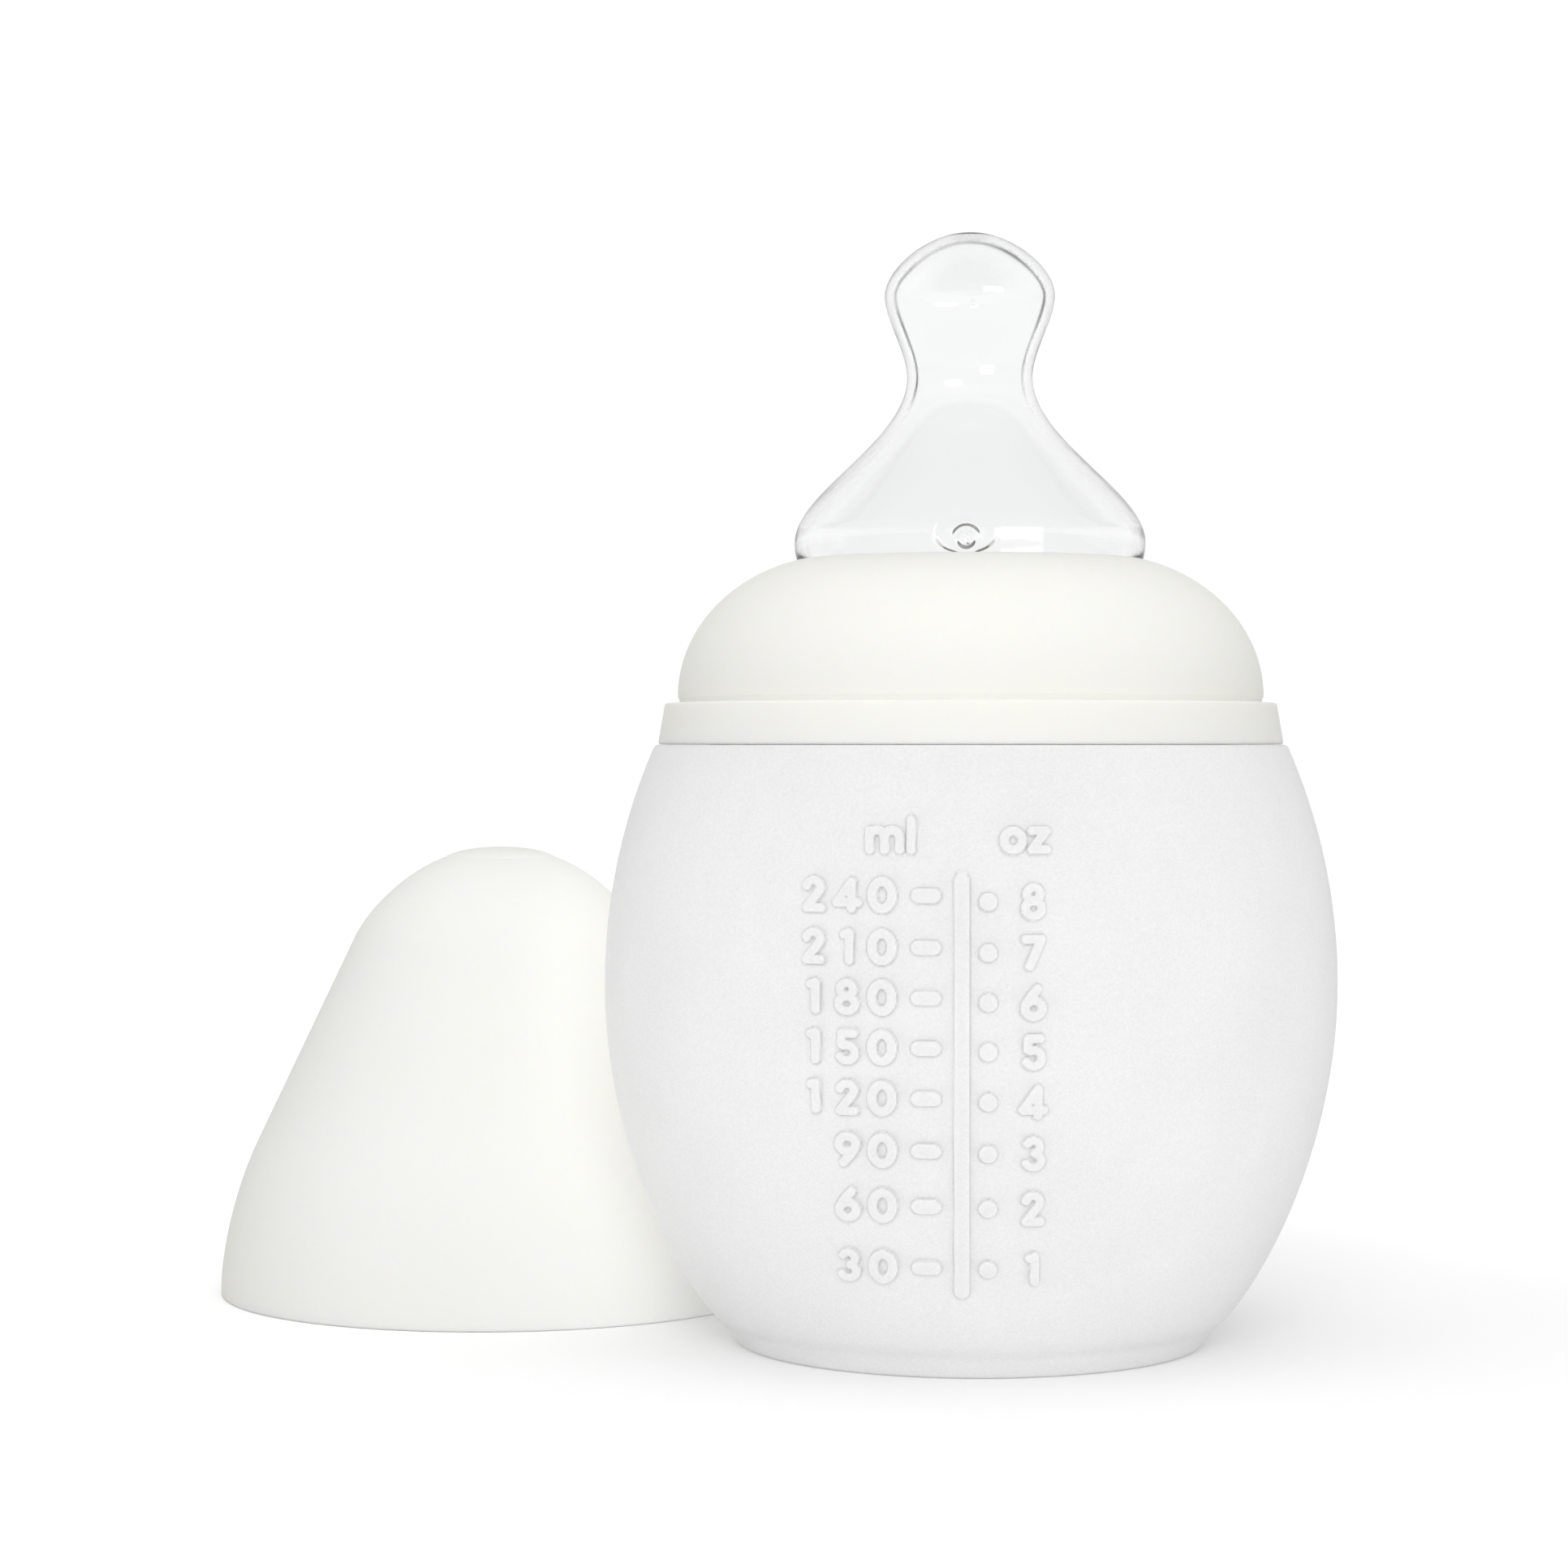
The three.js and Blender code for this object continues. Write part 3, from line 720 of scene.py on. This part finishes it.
def clear_silicone(name, painted_outline):
    """Clear glossy silicone; on the inner surface its outline, where light starts to graze it, is darkened by
    painted shade.
    """
    material, tree, shader = new_material(name)
    ripple = noise(tree, RIPPLE_SCALE)
    haze = noise(tree, HAZE_SCALE)
    shader.inputs["Base Color"].default_value = (*CLEAR_TINT, 1)
    shader.inputs["Transmission Weight"].default_value = 1
    if painted_outline:
        share = outline_share(tree)
        tree.links.new(between(tree, share, CLEAR_TINT, OUTLINE_SHADE_TINT), shader.inputs["Base Color"])
        tree.links.new(mixed_value(tree, share, 1, 0), shader.inputs["Transmission Weight"])
    tree.links.new(ranged(tree, haze, *CLEAR_ROUGHNESS), shader.inputs["Roughness"])
    shader.inputs["IOR"].default_value = SILICONE_IOR
    bumped(tree, shader, (ripple, RIPPLE_RELIEF))
    return material


def outline_share(tree):
    """Painted shade where light grazes the inner surface high on the teat, as a thin line in broken
    stretches.
    """
    facing = add_node(tree, "ShaderNodeLayerWeight", Blend=0.5)
    line = add_node(tree, "ShaderNodeValToRGB")
    line.color_ramp.interpolation = "EASE"
    stops = line.color_ramp.elements
    stops[0].position, stops[1].position = OUTLINE_FACING[0], OUTLINE_FACING[2]
    stops.new(OUTLINE_FACING[1])
    for stop, level in zip(stops, (0, 1, 0)):
        stop.color = (level, level, level, 1)
    tree.links.new(facing.outputs["Facing"], line.inputs["Fac"])
    geometry = add_node(tree, "ShaderNodeNewGeometry")
    height = add_node(tree, "ShaderNodeSeparateXYZ")
    place = add_node(tree, "ShaderNodeTexCoord")
    tree.links.new(place.outputs["Object"], height.inputs["Vector"])
    upper = add_node(tree, "ShaderNodeMapRange")
    upper.inputs["From Min"].default_value = OUTLINE_LOW * MM
    upper.inputs["From Max"].default_value = (OUTLINE_LOW + OUTLINE_FADE) * MM
    tree.links.new(height.outputs["Z"], upper.inputs["Value"])
    share = line.outputs["Color"]
    broken = ranged(tree, noise(tree, OUTLINE_BREAKS_SCALE, detail=1), OUTLINE_FAINTEST, 1)
    for other in (geometry.outputs["Backfacing"], upper.outputs["Result"], broken):
        times = add_node(tree, "ShaderNodeMath", operation="MULTIPLY")
        tree.links.new(share, times.inputs[0])
        tree.links.new(other, times.inputs[1])
        share = times.outputs["Value"]
    return share


def ivory_plastic(name):
    """Satin ivory polypropylene with a weak warm sheen."""
    material, tree, shader = new_material(name)
    drift = noise(tree, IVORY_DRIFT_SCALE)
    grain = noise(tree, IVORY_GRAIN_SCALE, roughness=0.6)
    colour = tinted(tree, drift, *IVORY_TINTS)
    tree.links.new(colour, shader.inputs["Base Color"])
    tree.links.new(ranged(tree, grain, *IVORY_ROUGHNESS), shader.inputs["Roughness"])
    shader.inputs["Subsurface Weight"].default_value = 0.4
    shader.inputs["Subsurface Radius"].default_value = IVORY_DEPTH_TINT
    shader.inputs["Subsurface Scale"].default_value = IVORY_DEPTH
    shader.inputs["Specular IOR Level"].default_value = 0.2
    shader.inputs["Sheen Weight"].default_value = 0.12
    shader.inputs["Sheen Roughness"].default_value = 0.5
    shader.inputs["Sheen Tint"].default_value = IVORY_SHEEN_TINT
    bumped(tree, shader, (grain, IVORY_GRAIN_RELIEF), (drift, IVORY_DRIFT_RELIEF))
    return material


# ---- pieces -----------------------------------------------------------------------------------------------


def belly_outline():
    """The body's outer surface from the top of the foot's bevel up to the shoulder."""
    side = (BELLY_RADIUS, BELLY_HEIGHT)
    lower = bend(FOOT_TOP, (BELLY_FOOT_HANDLE, 0), (0, -BELLY_SIDE_HANDLE), side, steps=80)
    top = math.asin((SHOULDER_HEIGHT - BELLY_HEIGHT) / BELLY_UPPER_BEND)
    centre = BELLY_RADIUS - BELLY_UPPER_BEND
    upper = ellipse_arc(centre, BELLY_HEIGHT, BELLY_UPPER_BEND, BELLY_UPPER_BEND, 0, top, steps=60)
    return joined(lower, upper)


def inside_outline():
    """The body's inner surface from the middle of the floor up to the mouth."""
    wall = inset(belly_outline(), BODY_WALL)
    wall = wall[(wall[:, 1] > FLOOR_CORNER_HEIGHT) & (wall[:, 1] < NECK_BLEND_HEIGHT)]
    corner = bend((FLOOR_FLAT_RADIUS, FLOOR_HEIGHT), *FLOOR_CORNER_HANDLES, wall[0], steps=16)
    blend = bend(wall[-1], *NECK_BLEND_HANDLES, (NECK_BORE, NECK_BORE_FOOT), steps=12)
    return joined((AXIS_GAP, FLOOR_HEIGHT), corner, wall, blend)


def figure_spacing(heights):
    """A spacing rule: a fine grid where figures stand and a coarse one between them."""
    centres = np.array(heights)

    def spacing(height):
        away = np.abs(height[:, None] - centres[None, :]).min(axis=1)
        return np.where(away < FIGURE_REACH, FIGURE_GRID, BODY_GRID)

    return spacing


def body_outline(inside, marked):
    """The body's whole outline, with fine rows at the marked heights, and how many rows lie outside."""
    belly = respaced(belly_outline()[:-3], figure_spacing(marked))
    foot = rounded([(FOOT_FLAT_RADIUS, 0), (FOOT_RADIUS, 0), FOOT_TOP, belly[BELLY_START]], FOOT_ROUND)
    corner = [belly[-1], belly_outline()[-1], (NECK_RADIUS, SHOULDER_HEIGHT), (NECK_RADIUS, NECK_FOOT)]
    shoulder = rounded(corner, SHOULDER_ROUND)
    neck_end = (NECK_RADIUS, NECK_TOP - 1)
    neck = respaced(np.array([(NECK_RADIUS, NECK_FOOT), neck_end]), even(NECK_THREAD_GRID))
    lip = [(NECK_RADIUS, NECK_TOP), (NECK_BORE, NECK_TOP), (NECK_BORE, NECK_TOP - 2)]
    rim = rounded([neck_end, *lip], NECK_ROUND)
    lining = respaced(inside[::-1], even(BODY_LINING_GRID))
    base = [(AXIS_GAP, 0), (BASE_RADIUS, 0)]
    outline = joined(base, foot[:-1], belly[BELLY_START:], shoulder, neck, rim, lining)
    return outline, len(outline) - len(lining) - len(rim)


def raise_graduations(grid, dashes, dots, rows):
    """Raises the bar, each dash and dot with its number, and the units."""
    raise_bar(grid, rows)
    for volume, height in zip(DASH_VOLUMES, dashes):
        raise_figure(grid, "dash", DASH_CENTRE, height, rows)
        for place, digit in zip(DIGIT_CENTRES, str(volume).rjust(3)):
            if digit != " ":
                raise_figure(grid, digit, place, height, rows)
    for ounces, height in enumerate(dots, 1):
        raise_figure(grid, "dot", DOT_CENTRE, height, rows)
        raise_figure(grid, str(ounces), OUNCE_DIGIT_CENTRE, height, rows)
    for letter, place in UNIT_LETTERS.items():
        raise_figure(grid, letter, place, UNIT_HEIGHT, rows)


def bottle_body():
    """The frosted body, whose marks stand where its inside holds their volumes."""
    inside = inside_outline()
    dashes = [volume_height(inside, volume) for volume in DASH_VOLUMES]
    dots = [volume_height(inside, ounces * OUNCE) for ounces in range(1, OUNCE_MARKS + 1)]
    outline, outer_count = body_outline(inside, [*dashes, *dots, *OTHER_FINE_HEIGHTS])
    radius, height = outline.T
    outer = np.arange(len(outline)) < outer_count
    on_belly = outer & (radius > FOOT_TOP[0]) & (height < BELLY_TOP)
    on_neck = outer & (height > NECK_LOW) & (radius < NECK_RADIUS + 0.01)
    grid = Turned(outline, angles(*BODY_SECTOR), ~on_belly, BODY_SPARSE_STEP)
    thread_push(grid, NECK_THREAD_START, NECK_THREAD_RISE, on_neck)
    raise_graduations(grid, dashes, dots, on_belly)
    raised = grid.push[on_belly] / RELIEF
    # Painted shade: strongest along the lettering's edges, faint on the lettering's faces
    grid.crease[on_belly] = 4 * raised * (1 - raised) + FACE_SHADE * raised
    made = grid.mesh_object("bottle")
    mark_lining(made, inside, BODY_WALL / 3)
    return made


def band_outline():
    """The collar's outer surface from the bore round the band and the groove to the dome's foot."""
    inner_foot = (COLLAR_BORE, BAND_BOTTOM + 1)
    side = (BAND_BOTTOM_RADIUS + BAND_LEAN, BAND_BOTTOM + 1)
    foot = [inner_foot, (COLLAR_BORE, BAND_BOTTOM), (BAND_BOTTOM_RADIUS, BAND_BOTTOM), side]
    top = [(BAND_TOP_RADIUS, BAND_TOP), (GROOVE_RADIUS, BAND_TOP)]
    groove = [(GROOVE_RADIUS, GROOVE_TOP - GROOVE_CHAMFER), (DOME_CENTRE + DOME_REACH, GROOVE_TOP)]
    band = [side, *top, *groove, (DOME_CENTRE + DOME_REACH, DOME_FOOT)]
    return joined(rounded(foot, BAND_FOOT_ROUND), rounded(band, BAND_ROUND))


def dome_outline():
    """The collar's dome, from its outer foot over the teat's hole and under itself to the bore."""
    under_reach, under_rise = DOME_REACH - COLLAR_WALL, DOME_RISE - COLLAR_WALL
    hole = math.acos((TEAT_HOLE - DOME_CENTRE) / DOME_REACH) - HOLE_TRIM
    under_hole = math.acos((TEAT_HOLE - DOME_CENTRE) / under_reach) - HOLE_TRIM
    under_wall = math.acos((COLLAR_BORE - DOME_CENTRE) / under_reach)
    over = ellipse_arc(DOME_CENTRE, DOME_BASE, DOME_REACH, DOME_RISE, DOME_START, hole, steps=90)
    under = ellipse_arc(DOME_CENTRE, DOME_BASE, under_reach, under_rise, under_hole, under_wall, steps=40)
    lip = [(TEAT_HOLE, over[-1][1] + HOLE_LIP), (TEAT_HOLE, under[0][1] - HOLE_LIP)]
    return joined(over, rounded([over[-1], *lip, under[0]], HOLE_ROUND), under)


def collar():
    """The ivory screw collar, with its thread inside."""
    dome = dome_outline()
    bore_ends = np.array([(COLLAR_BORE, dome[-1][1]), (COLLAR_BORE, BAND_BOTTOM + 1)])
    bore = respaced(bore_ends, even(COLLAR_THREAD_GRID))
    outline = joined(band_outline(), dome, bore)
    grid = Turned(outline, angles(*ROUND_SECTOR))
    on_bore = np.arange(len(outline)) >= len(outline) - len(bore) + 1
    thread_push(grid, COLLAR_THREAD_START, COLLAR_THREAD_RISE, on_bore)
    return grid.mesh_object("collar_ring")


def teat_outline():
    """The teat's outer surface above the collar, from its foot to the tip."""
    foot = bend(TEAT_FOOT, *TEAT_HANDLES["foot"], BREAST, steps=10)
    breast = bend(BREAST, *TEAT_HANDLES["breast"], WAIST, steps=60)
    waist = bend(WAIST, *TEAT_HANDLES["waist"], BULB, steps=30)
    bulb = bend(BULB, *TEAT_HANDLES["bulb"], (AXIS_GAP, TEAT_TIP), steps=40)
    return joined(foot, breast, waist, bulb)


def oval(x, z, centre, half):
    """How far points lie outside an ellipse in the front view, in millimetres, about right near its edge."""
    reach = np.hypot((x - centre[0]) / half[0], (z - centre[1]) / half[1])
    return (reach - 1) * min(half)


def eye(x, z, centre, half):
    """How far points lie outside a lens shape with pointed ends: two equal discs that overlap."""
    radius = (half[0] ** 2 + half[1] ** 2) / (2 * half[1])
    offset = radius - half[1]
    upper = np.hypot(x - centre[0], z - centre[1] + offset)
    lower = np.hypot(x - centre[0], z - centre[1] - offset)
    return np.maximum(upper, lower) - radius


def inside_share(distance):
    """1 inside an edge, 0 outside it, and a soft step between."""
    return 1 - smooth_step(distance, -VALVE_EDGE, VALVE_EDGE)


def press_valve(grid, rows):
    """Sinks the valve's oval pocket and eye, and raises the boss with its cup and slit."""
    x, z = grid.front()
    mask = rows[:, None] & (np.cos(grid.turn)[None, :] > 0) & (z < VALVE_POCKET[1] + VALVE_REACH)
    x, z = x[mask], z[mask]
    push = -VALVE_POCKET_DEPTH * inside_share(oval(x, z, VALVE_POCKET, VALVE_POCKET_HALF))
    push -= VALVE_EYE_DEPTH * inside_share(eye(x, z, VALVE_EYE, VALVE_EYE_HALF))
    boss = np.hypot(x - VALVE_BOSS[0], z - VALVE_BOSS[1])
    push += VALVE_BOSS_HEIGHT * inside_share(boss - VALVE_BOSS_RADIUS)
    push -= VALVE_CUP_DEPTH * inside_share(boss - VALVE_CUP_RADIUS)
    slit = stroke_distance(x, z, VALVE_SLIT) - VALVE_SLIT_HALF_WIDTH
    push -= VALVE_SLIT_DEPTH * (1 - smooth_step(slit, -VALVE_SLIT_EDGE, VALVE_SLIT_EDGE))
    grid.push[mask] += push


def press_milk_hole(grid, rows):
    """Sinks the milk hole's narrow pit in the bulb."""
    x, z = grid.front()
    mask = rows[:, None] & (np.cos(grid.turn)[None, :] > 0)
    away = np.hypot(x[mask] - MILK_HOLE[0], z[mask] - MILK_HOLE[1]) - MILK_HOLE_RADIUS
    grid.push[mask] -= MILK_HOLE_DEPTH * (1 - smooth_step(away, -MILK_HOLE_EDGE, MILK_HOLE_EDGE))


def teat_spacing(height):
    """Fine rows at the valve and the milk hole, coarser rows elsewhere."""
    at_valve = height < VALVE_POCKET[1] + VALVE_FINE_REACH
    at_hole = np.abs(height - MILK_HOLE[1]) < MILK_HOLE_FINE_REACH
    return np.where(at_valve | at_hole, TEAT_DETAIL_GRID, TEAT_GRID)


def skirt_outline():
    """The teat's outer surface under the collar's dome, from the flange up to the groove."""
    reach = DOME_REACH - COLLAR_WALL - TEAT_CLEARANCE
    rise = DOME_RISE - COLLAR_WALL - TEAT_CLEARANCE
    low = math.asin((FLANGE_BOTTOM + FLANGE_EDGE - DOME_BASE) / rise)
    high = math.acos((TEAT_NECK_RADIUS - DOME_CENTRE) / reach)
    return ellipse_arc(DOME_CENTRE, DOME_BASE, reach, rise, low, high, steps=24)


def teat_lining_outline(hem_end):
    """The teat's inner surface from the tip down to the inner end of the skirt."""
    inside = inset(teat_outline(), TEAT_WALL)
    inside = inside[(inside[:, 1] > BREAST[1] + 1) & (inside[:, 0] > TEAT_LINING_TOP)]
    inside = respaced(inside, even(TEAT_LINING_GRID))
    tip = bend(inside[-1], *TEAT_HANDLES["inner tip"], (AXIS_GAP, TEAT_TIP - TEAT_TIP_WALL), steps=6)
    throat = bend(inside[0], *TEAT_HANDLES["throat"], (TEAT_NECK_BORE, TEAT_FOOT[1] - THROAT_DROP), steps=8)
    hem = bend(throat[-1], *TEAT_HANDLES["hem"], hem_end, steps=6)
    return joined(tip[::-1], inside[::-1], throat, hem)


def teat():
    """The clear teat: its outer surface from the flange to the tip, and its inner surface back down."""
    skirt = skirt_outline()
    under = inset(skirt, TEAT_SKIRT_WALL)
    under = under[(under[:, 0] < NECK_BORE) & (under[:, 0] > TEAT_NECK_BORE + SKIRT_END_GAP)]
    flange = rounded([(NECK_BORE, FLANGE_BOTTOM), (FLANGE_RADIUS, FLANGE_BOTTOM), skirt[0]], FLANGE_ROUND)
    clamped = rounded([skirt[-1], (TEAT_NECK_RADIUS, TEAT_FOOT[1] - CLAMP_STEP), TEAT_FOOT], CLAMP_ROUND)
    hidden = joined(flange, skirt, clamped)
    visible = respaced(teat_outline(), teat_spacing)
    lining = teat_lining_outline(under[-1])
    lower_end = np.array([(NECK_BORE, under[0][1]), (NECK_BORE, FLANGE_BOTTOM)])
    outline = joined(hidden, visible, lining, under[::-1], lower_end)
    row = np.arange(len(outline))
    first = len(hidden) - 1
    on_front = (row >= first) & (row < first + len(visible) - TEAT_TIP_ROWS)
    lining_first = first + len(visible) - 1
    on_lining = (row > lining_first) & (row < lining_first + len(lining))
    grid = Turned(outline, angles(*TEAT_SECTOR), ~on_front, TEAT_SPARSE_STEP)
    press_valve(grid, on_front)
    press_milk_hole(grid, on_front)
    made = grid.mesh_object("teat_silicone")
    mark_lining(made, outline[on_lining], TEAT_WALL / 3)
    return made


def mark_lining(piece, lining, margin):
    """Gives the faces on a piece's inner surface the second material."""
    heights = lining[:, 1]
    order = np.argsort(heights)
    for face in piece.data.polygons:
        centre = face.center / MM
        reach = math.hypot(centre.x, centre.y)
        wall = np.interp(centre.z, heights[order], lining[order, 0])
        if centre.z > heights.min() and reach < wall + margin:
            face.material_index = 1


def cap_outline():
    """The cap's outer surface from the rim to the middle of the button."""
    cone = np.array([-math.sin(CAP_CONE_LEAN), math.cos(CAP_CONE_LEAN)])
    slope = np.array([math.cos(CAP_SHOULDER_SLOPE), -math.sin(CAP_SHOULDER_SLOPE)])
    lower = bend((CAP_RADIUS, CAP_RIM_TOP), CAP_RIM_HANDLE, cone * -CAP_CURVE_REACH, CAP_CURVE_TOP, steps=40)
    side = np.linspace(CAP_CURVE_TOP, CAP_CONE_TOP, 30)
    upper = bend(CAP_CONE_TOP, cone * CAP_CONE_REACH, slope * CAP_SHOULDER_REACH, CAP_SHOULDER, steps=40)
    button = bend(CAP_SHOULDER, *BUTTON_HANDLES, (AXIS_GAP, CAP_HEIGHT), steps=24)
    return joined(lower, side, upper, button)


def snap_rise(grid):
    """How far the snap arcs inside the cap's rim would raise each point of a grid."""
    turn = np.degrees(grid.turn)[None, :] % (360 / SNAP_COUNT) - 180 / SNAP_COUNT
    along = np.abs(np.radians(turn)) * CAP_RADIUS
    height = grid.outline[:, 1:]
    above_foot = smooth_step(height, SNAP_LOW - SNAP_FOOT_FADE, SNAP_LOW + SNAP_FOOT_FADE)
    above_head = smooth_step(height, SNAP_HIGH - SNAP_HEAD_FADE, SNAP_HIGH)
    past_end = smooth_step(along, SNAP_ARC / 2 - SNAP_END_FADE, SNAP_ARC / 2)
    return SNAP_REACH * ((1 - past_end) * (above_foot - above_head))


def cap():
    """The ivory bell-shaped cap, with snap arcs inside its rim."""
    outside = cap_outline()
    inside = inset(outside, CAP_WALL)
    inside = inside[(inside[:, 0] > CAP_INSIDE_TOP) & (inside[:, 1] > CAP_INSIDE_LOW)]
    bore_radius = CAP_RADIUS - CAP_WALL
    bore = respaced(np.array([inside[0], (bore_radius, BORE_FOOT)]), even(SNAP_GRID))
    rim = rounded([(bore_radius, BORE_FOOT), (bore_radius, 0), (CAP_RADIUS, 0), outside[1]], CAP_RIM_ROUND)
    top = (AXIS_GAP, CAP_HEIGHT - CAP_WALL)
    outline = joined(rim, outside[2:], top, inside[::-1], bore)
    grid = Turned(outline, angles(*ROUND_SECTOR))
    on_bore = np.arange(len(outline)) >= len(outline) - len(bore)
    grid.push[on_bore] += snap_rise(grid)[on_bore]
    return grid.mesh_object("cap_bell", (CAP_CENTRE.x, CAP_CENTRE.y, 0))


def place_piece(piece, body, node, slot, *materials):
    """Gives a piece its materials and the body that it rides on, and hides the CAD node that it stands for.
    """
    for material in materials:
        piece.data.materials.append(material)
    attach(piece, body)
    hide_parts(node)


# ---- studio -----------------------------------------------------------------------------------------------


def seen_share(tree):
    """1 for rays that come straight from the camera or through clear silicone, 0 for all other light."""
    path = add_node(tree, "ShaderNodeLightPath")
    either = add_node(tree, "ShaderNodeMath", operation="MAXIMUM")
    tree.links.new(path.outputs["Is Camera Ray"], either.inputs[0])
    tree.links.new(path.outputs["Is Transmission Ray"], either.inputs[1])
    return either.outputs["Value"]


def studio_floor():
    """A wide white floor, brightened by a little emission where it is seen, and toned down in its bounce."""
    mesh = bpy.data.meshes.new("studio_floor")
    corners = [(-1, -1), (1, -1), (1, 1), (-1, 1)]
    mesh.from_pydata([(x * FLOOR_REACH, y * FLOOR_REACH, 0) for x, y in corners], [], [(0, 1, 2, 3)])
    floor = bpy.data.objects.new("studio_floor", mesh)
    bpy.context.scene.collection.objects.link(floor)
    material, tree, shader = new_material("studio_white")
    colour = tinted(tree, noise(tree, FLOOR_TINT_SCALE), *FLOOR_TINTS)
    seen = seen_share(tree)
    bounce = between(tree, seen, FLOOR_BOUNCE, (1, 1, 1))
    tree.links.new(multiplied(tree, colour, bounce), shader.inputs["Base Color"])
    shader.inputs["Roughness"].default_value = 0.9
    shader.inputs["Specular IOR Level"].default_value = 0
    shader.inputs["Emission Color"].default_value = (1, 1, 1, 1)
    # Painted light: the glow grows away from the bottle's axis, leaving the floor darker round the pieces
    place = add_node(tree, "ShaderNodeTexCoord")
    reach = add_node(tree, "ShaderNodeVectorMath", operation="LENGTH")
    tree.links.new(place.outputs["Object"], reach.inputs["Vector"])
    glow = add_node(tree, "ShaderNodeMapRange", interpolation_type="SMOOTHSTEP")
    glow.inputs["From Min"].default_value = FLOOR_NEAR
    glow.inputs["From Max"].default_value = FLOOR_FAR
    glow.inputs["To Min"].default_value = FLOOR_NEAR_LIFT
    glow.inputs["To Max"].default_value = FLOOR_FAR_LIFT
    tree.links.new(reach.outputs["Value"], glow.inputs["Value"])
    lift = add_node(tree, "ShaderNodeMath", operation="MULTIPLY")
    tree.links.new(seen, lift.inputs[0])
    tree.links.new(glow.outputs["Result"], lift.inputs[1])
    tree.links.new(lift.outputs["Value"], shader.inputs["Emission Strength"])
    floor.data.materials.append(material)
    return floor


def soft_light(name, reflected=True):
    """One of the softboxes, facing its target and unseen by the camera, with or without reflections of it."""
    place, target, size, power = SOFTBOXES[name]
    light = bpy.data.lights.new(name, "AREA")
    light.shape = "RECTANGLE"
    light.size, light.size_y = size
    light.energy = power
    lamp = bpy.data.objects.new(name, light)
    lamp.location = place
    lamp.rotation_euler = (Vector(target) - Vector(place)).to_track_quat("-Z", "Y").to_euler()
    lamp.visible_camera = False
    lamp.visible_transmission = False
    lamp.visible_glossy = reflected
    bpy.context.scene.collection.objects.link(lamp)
    return lamp


def keep_to(lamp, pieces, own_shadow_only=True):
    """Makes a light fall on some pieces only, without the other pieces' shadows unless they are wanted."""
    lit = bpy.data.collections.new(lamp.name + "_lit")
    for piece in pieces:
        lit.objects.link(piece)
    lamp.light_linking.receiver_collection = lit
    if own_shadow_only:
        lamp.light_linking.blocker_collection = lit


def studio_world():
    """Even soft light from all round, and a white backdrop that only the camera and clear pieces see."""
    world = bpy.data.worlds.new("studio")
    bpy.context.scene.world = world
    world.use_nodes = True
    tree = world.node_tree
    background = tree.nodes["Background"]
    background.inputs["Color"].default_value = (1, 1, 1, 1)
    path = add_node(tree, "ShaderNodeLightPath")
    direction = add_node(tree, "ShaderNodeTexCoord")
    up = add_node(tree, "ShaderNodeSeparateXYZ")
    tree.links.new(direction.outputs["Generated"], up.inputs["Vector"])
    through = add_node(tree, "ShaderNodeMapRange", interpolation_type="SMOOTHSTEP")
    through.inputs["From Min"].default_value = math.sin(BACKDROP_TOP - BACKDROP_SOFTNESS)
    through.inputs["From Max"].default_value = math.sin(BACKDROP_TOP + BACKDROP_SOFTNESS)
    through.inputs["To Min"].default_value = WORLD_SEEN
    through.inputs["To Max"].default_value = CEILING_SEEN
    tree.links.new(up.outputs["Z"], through.inputs["Value"])
    clear = mixed_value(tree, path.outputs["Is Transmission Ray"], WORLD_LIGHT, through.outputs["Result"])
    strength = mixed_value(tree, path.outputs["Is Camera Ray"], clear, WORLD_SEEN)
    tree.links.new(strength, background.inputs["Strength"])


def camera():
    """The camera, looking along +Y with a small pitch and yaw."""
    data = bpy.data.cameras.new("camera")
    data.lens = CAMERA_LENS
    data.sensor_width = CAMERA_SENSOR
    made = bpy.data.objects.new("camera", data)
    turn = Matrix.Rotation(CAMERA_YAW, 4, "Z") @ Matrix.Rotation(math.pi / 2 + CAMERA_PITCH, 4, "X")
    made.matrix_world = Matrix.Translation(Vector(CAMERA_PLACE) * MM) @ turn
    bpy.context.scene.collection.objects.link(made)
    bpy.context.scene.camera = made


# ---- the scene --------------------------------------------------------------------------------------------

camera()
studio_world()
floor = studio_floor()

clear_outside = clear_silicone("clear_outside", False)
clear_inside = clear_silicone("clear_inside", True)
vessel = bottle_body()
frosted_outside = frosted_silicone("frosted_silicone", SURFACE_DEPTH)
frosted_inside = frosted_silicone("frosted_inside", INSIDE_DEPTH)
place_piece(vessel, "bottle", "bottle_body", "body_silicone", frosted_outside, frosted_inside)
ring = collar()
place_piece(ring, "collar", "collar", "collar_plastic", ivory_plastic("collar_ivory"))
nipple = teat()
nipple.visible_shadow = False  # light passes through it to the collar and the inside
place_piece(nipple, "teat", "teat", "teat_silicone", clear_outside, clear_inside)
bell = cap()
place_piece(bell, "cap", "cap", "cap_plastic", ivory_plastic("cap_ivory"))

soft_light("front_softbox", reflected=False)
soft_light("low_right_softbox")
top_light = soft_light("top_softbox", reflected=False)
keep_to(top_light, (floor, ring, bell), own_shadow_only=False)
keep_to(soft_light("left_foot_softbox"), [vessel])
keep_to(soft_light("right_foot_softbox"), [vessel])
teat_light = soft_light("teat_softbox")
teat_light.visible_diffuse = False  # it only makes highlights
keep_to(teat_light, [nipple])
keep_to(soft_light("cap_softbox", reflected=False), [bell])

bpy.context.scene.view_settings.view_transform = "Standard"
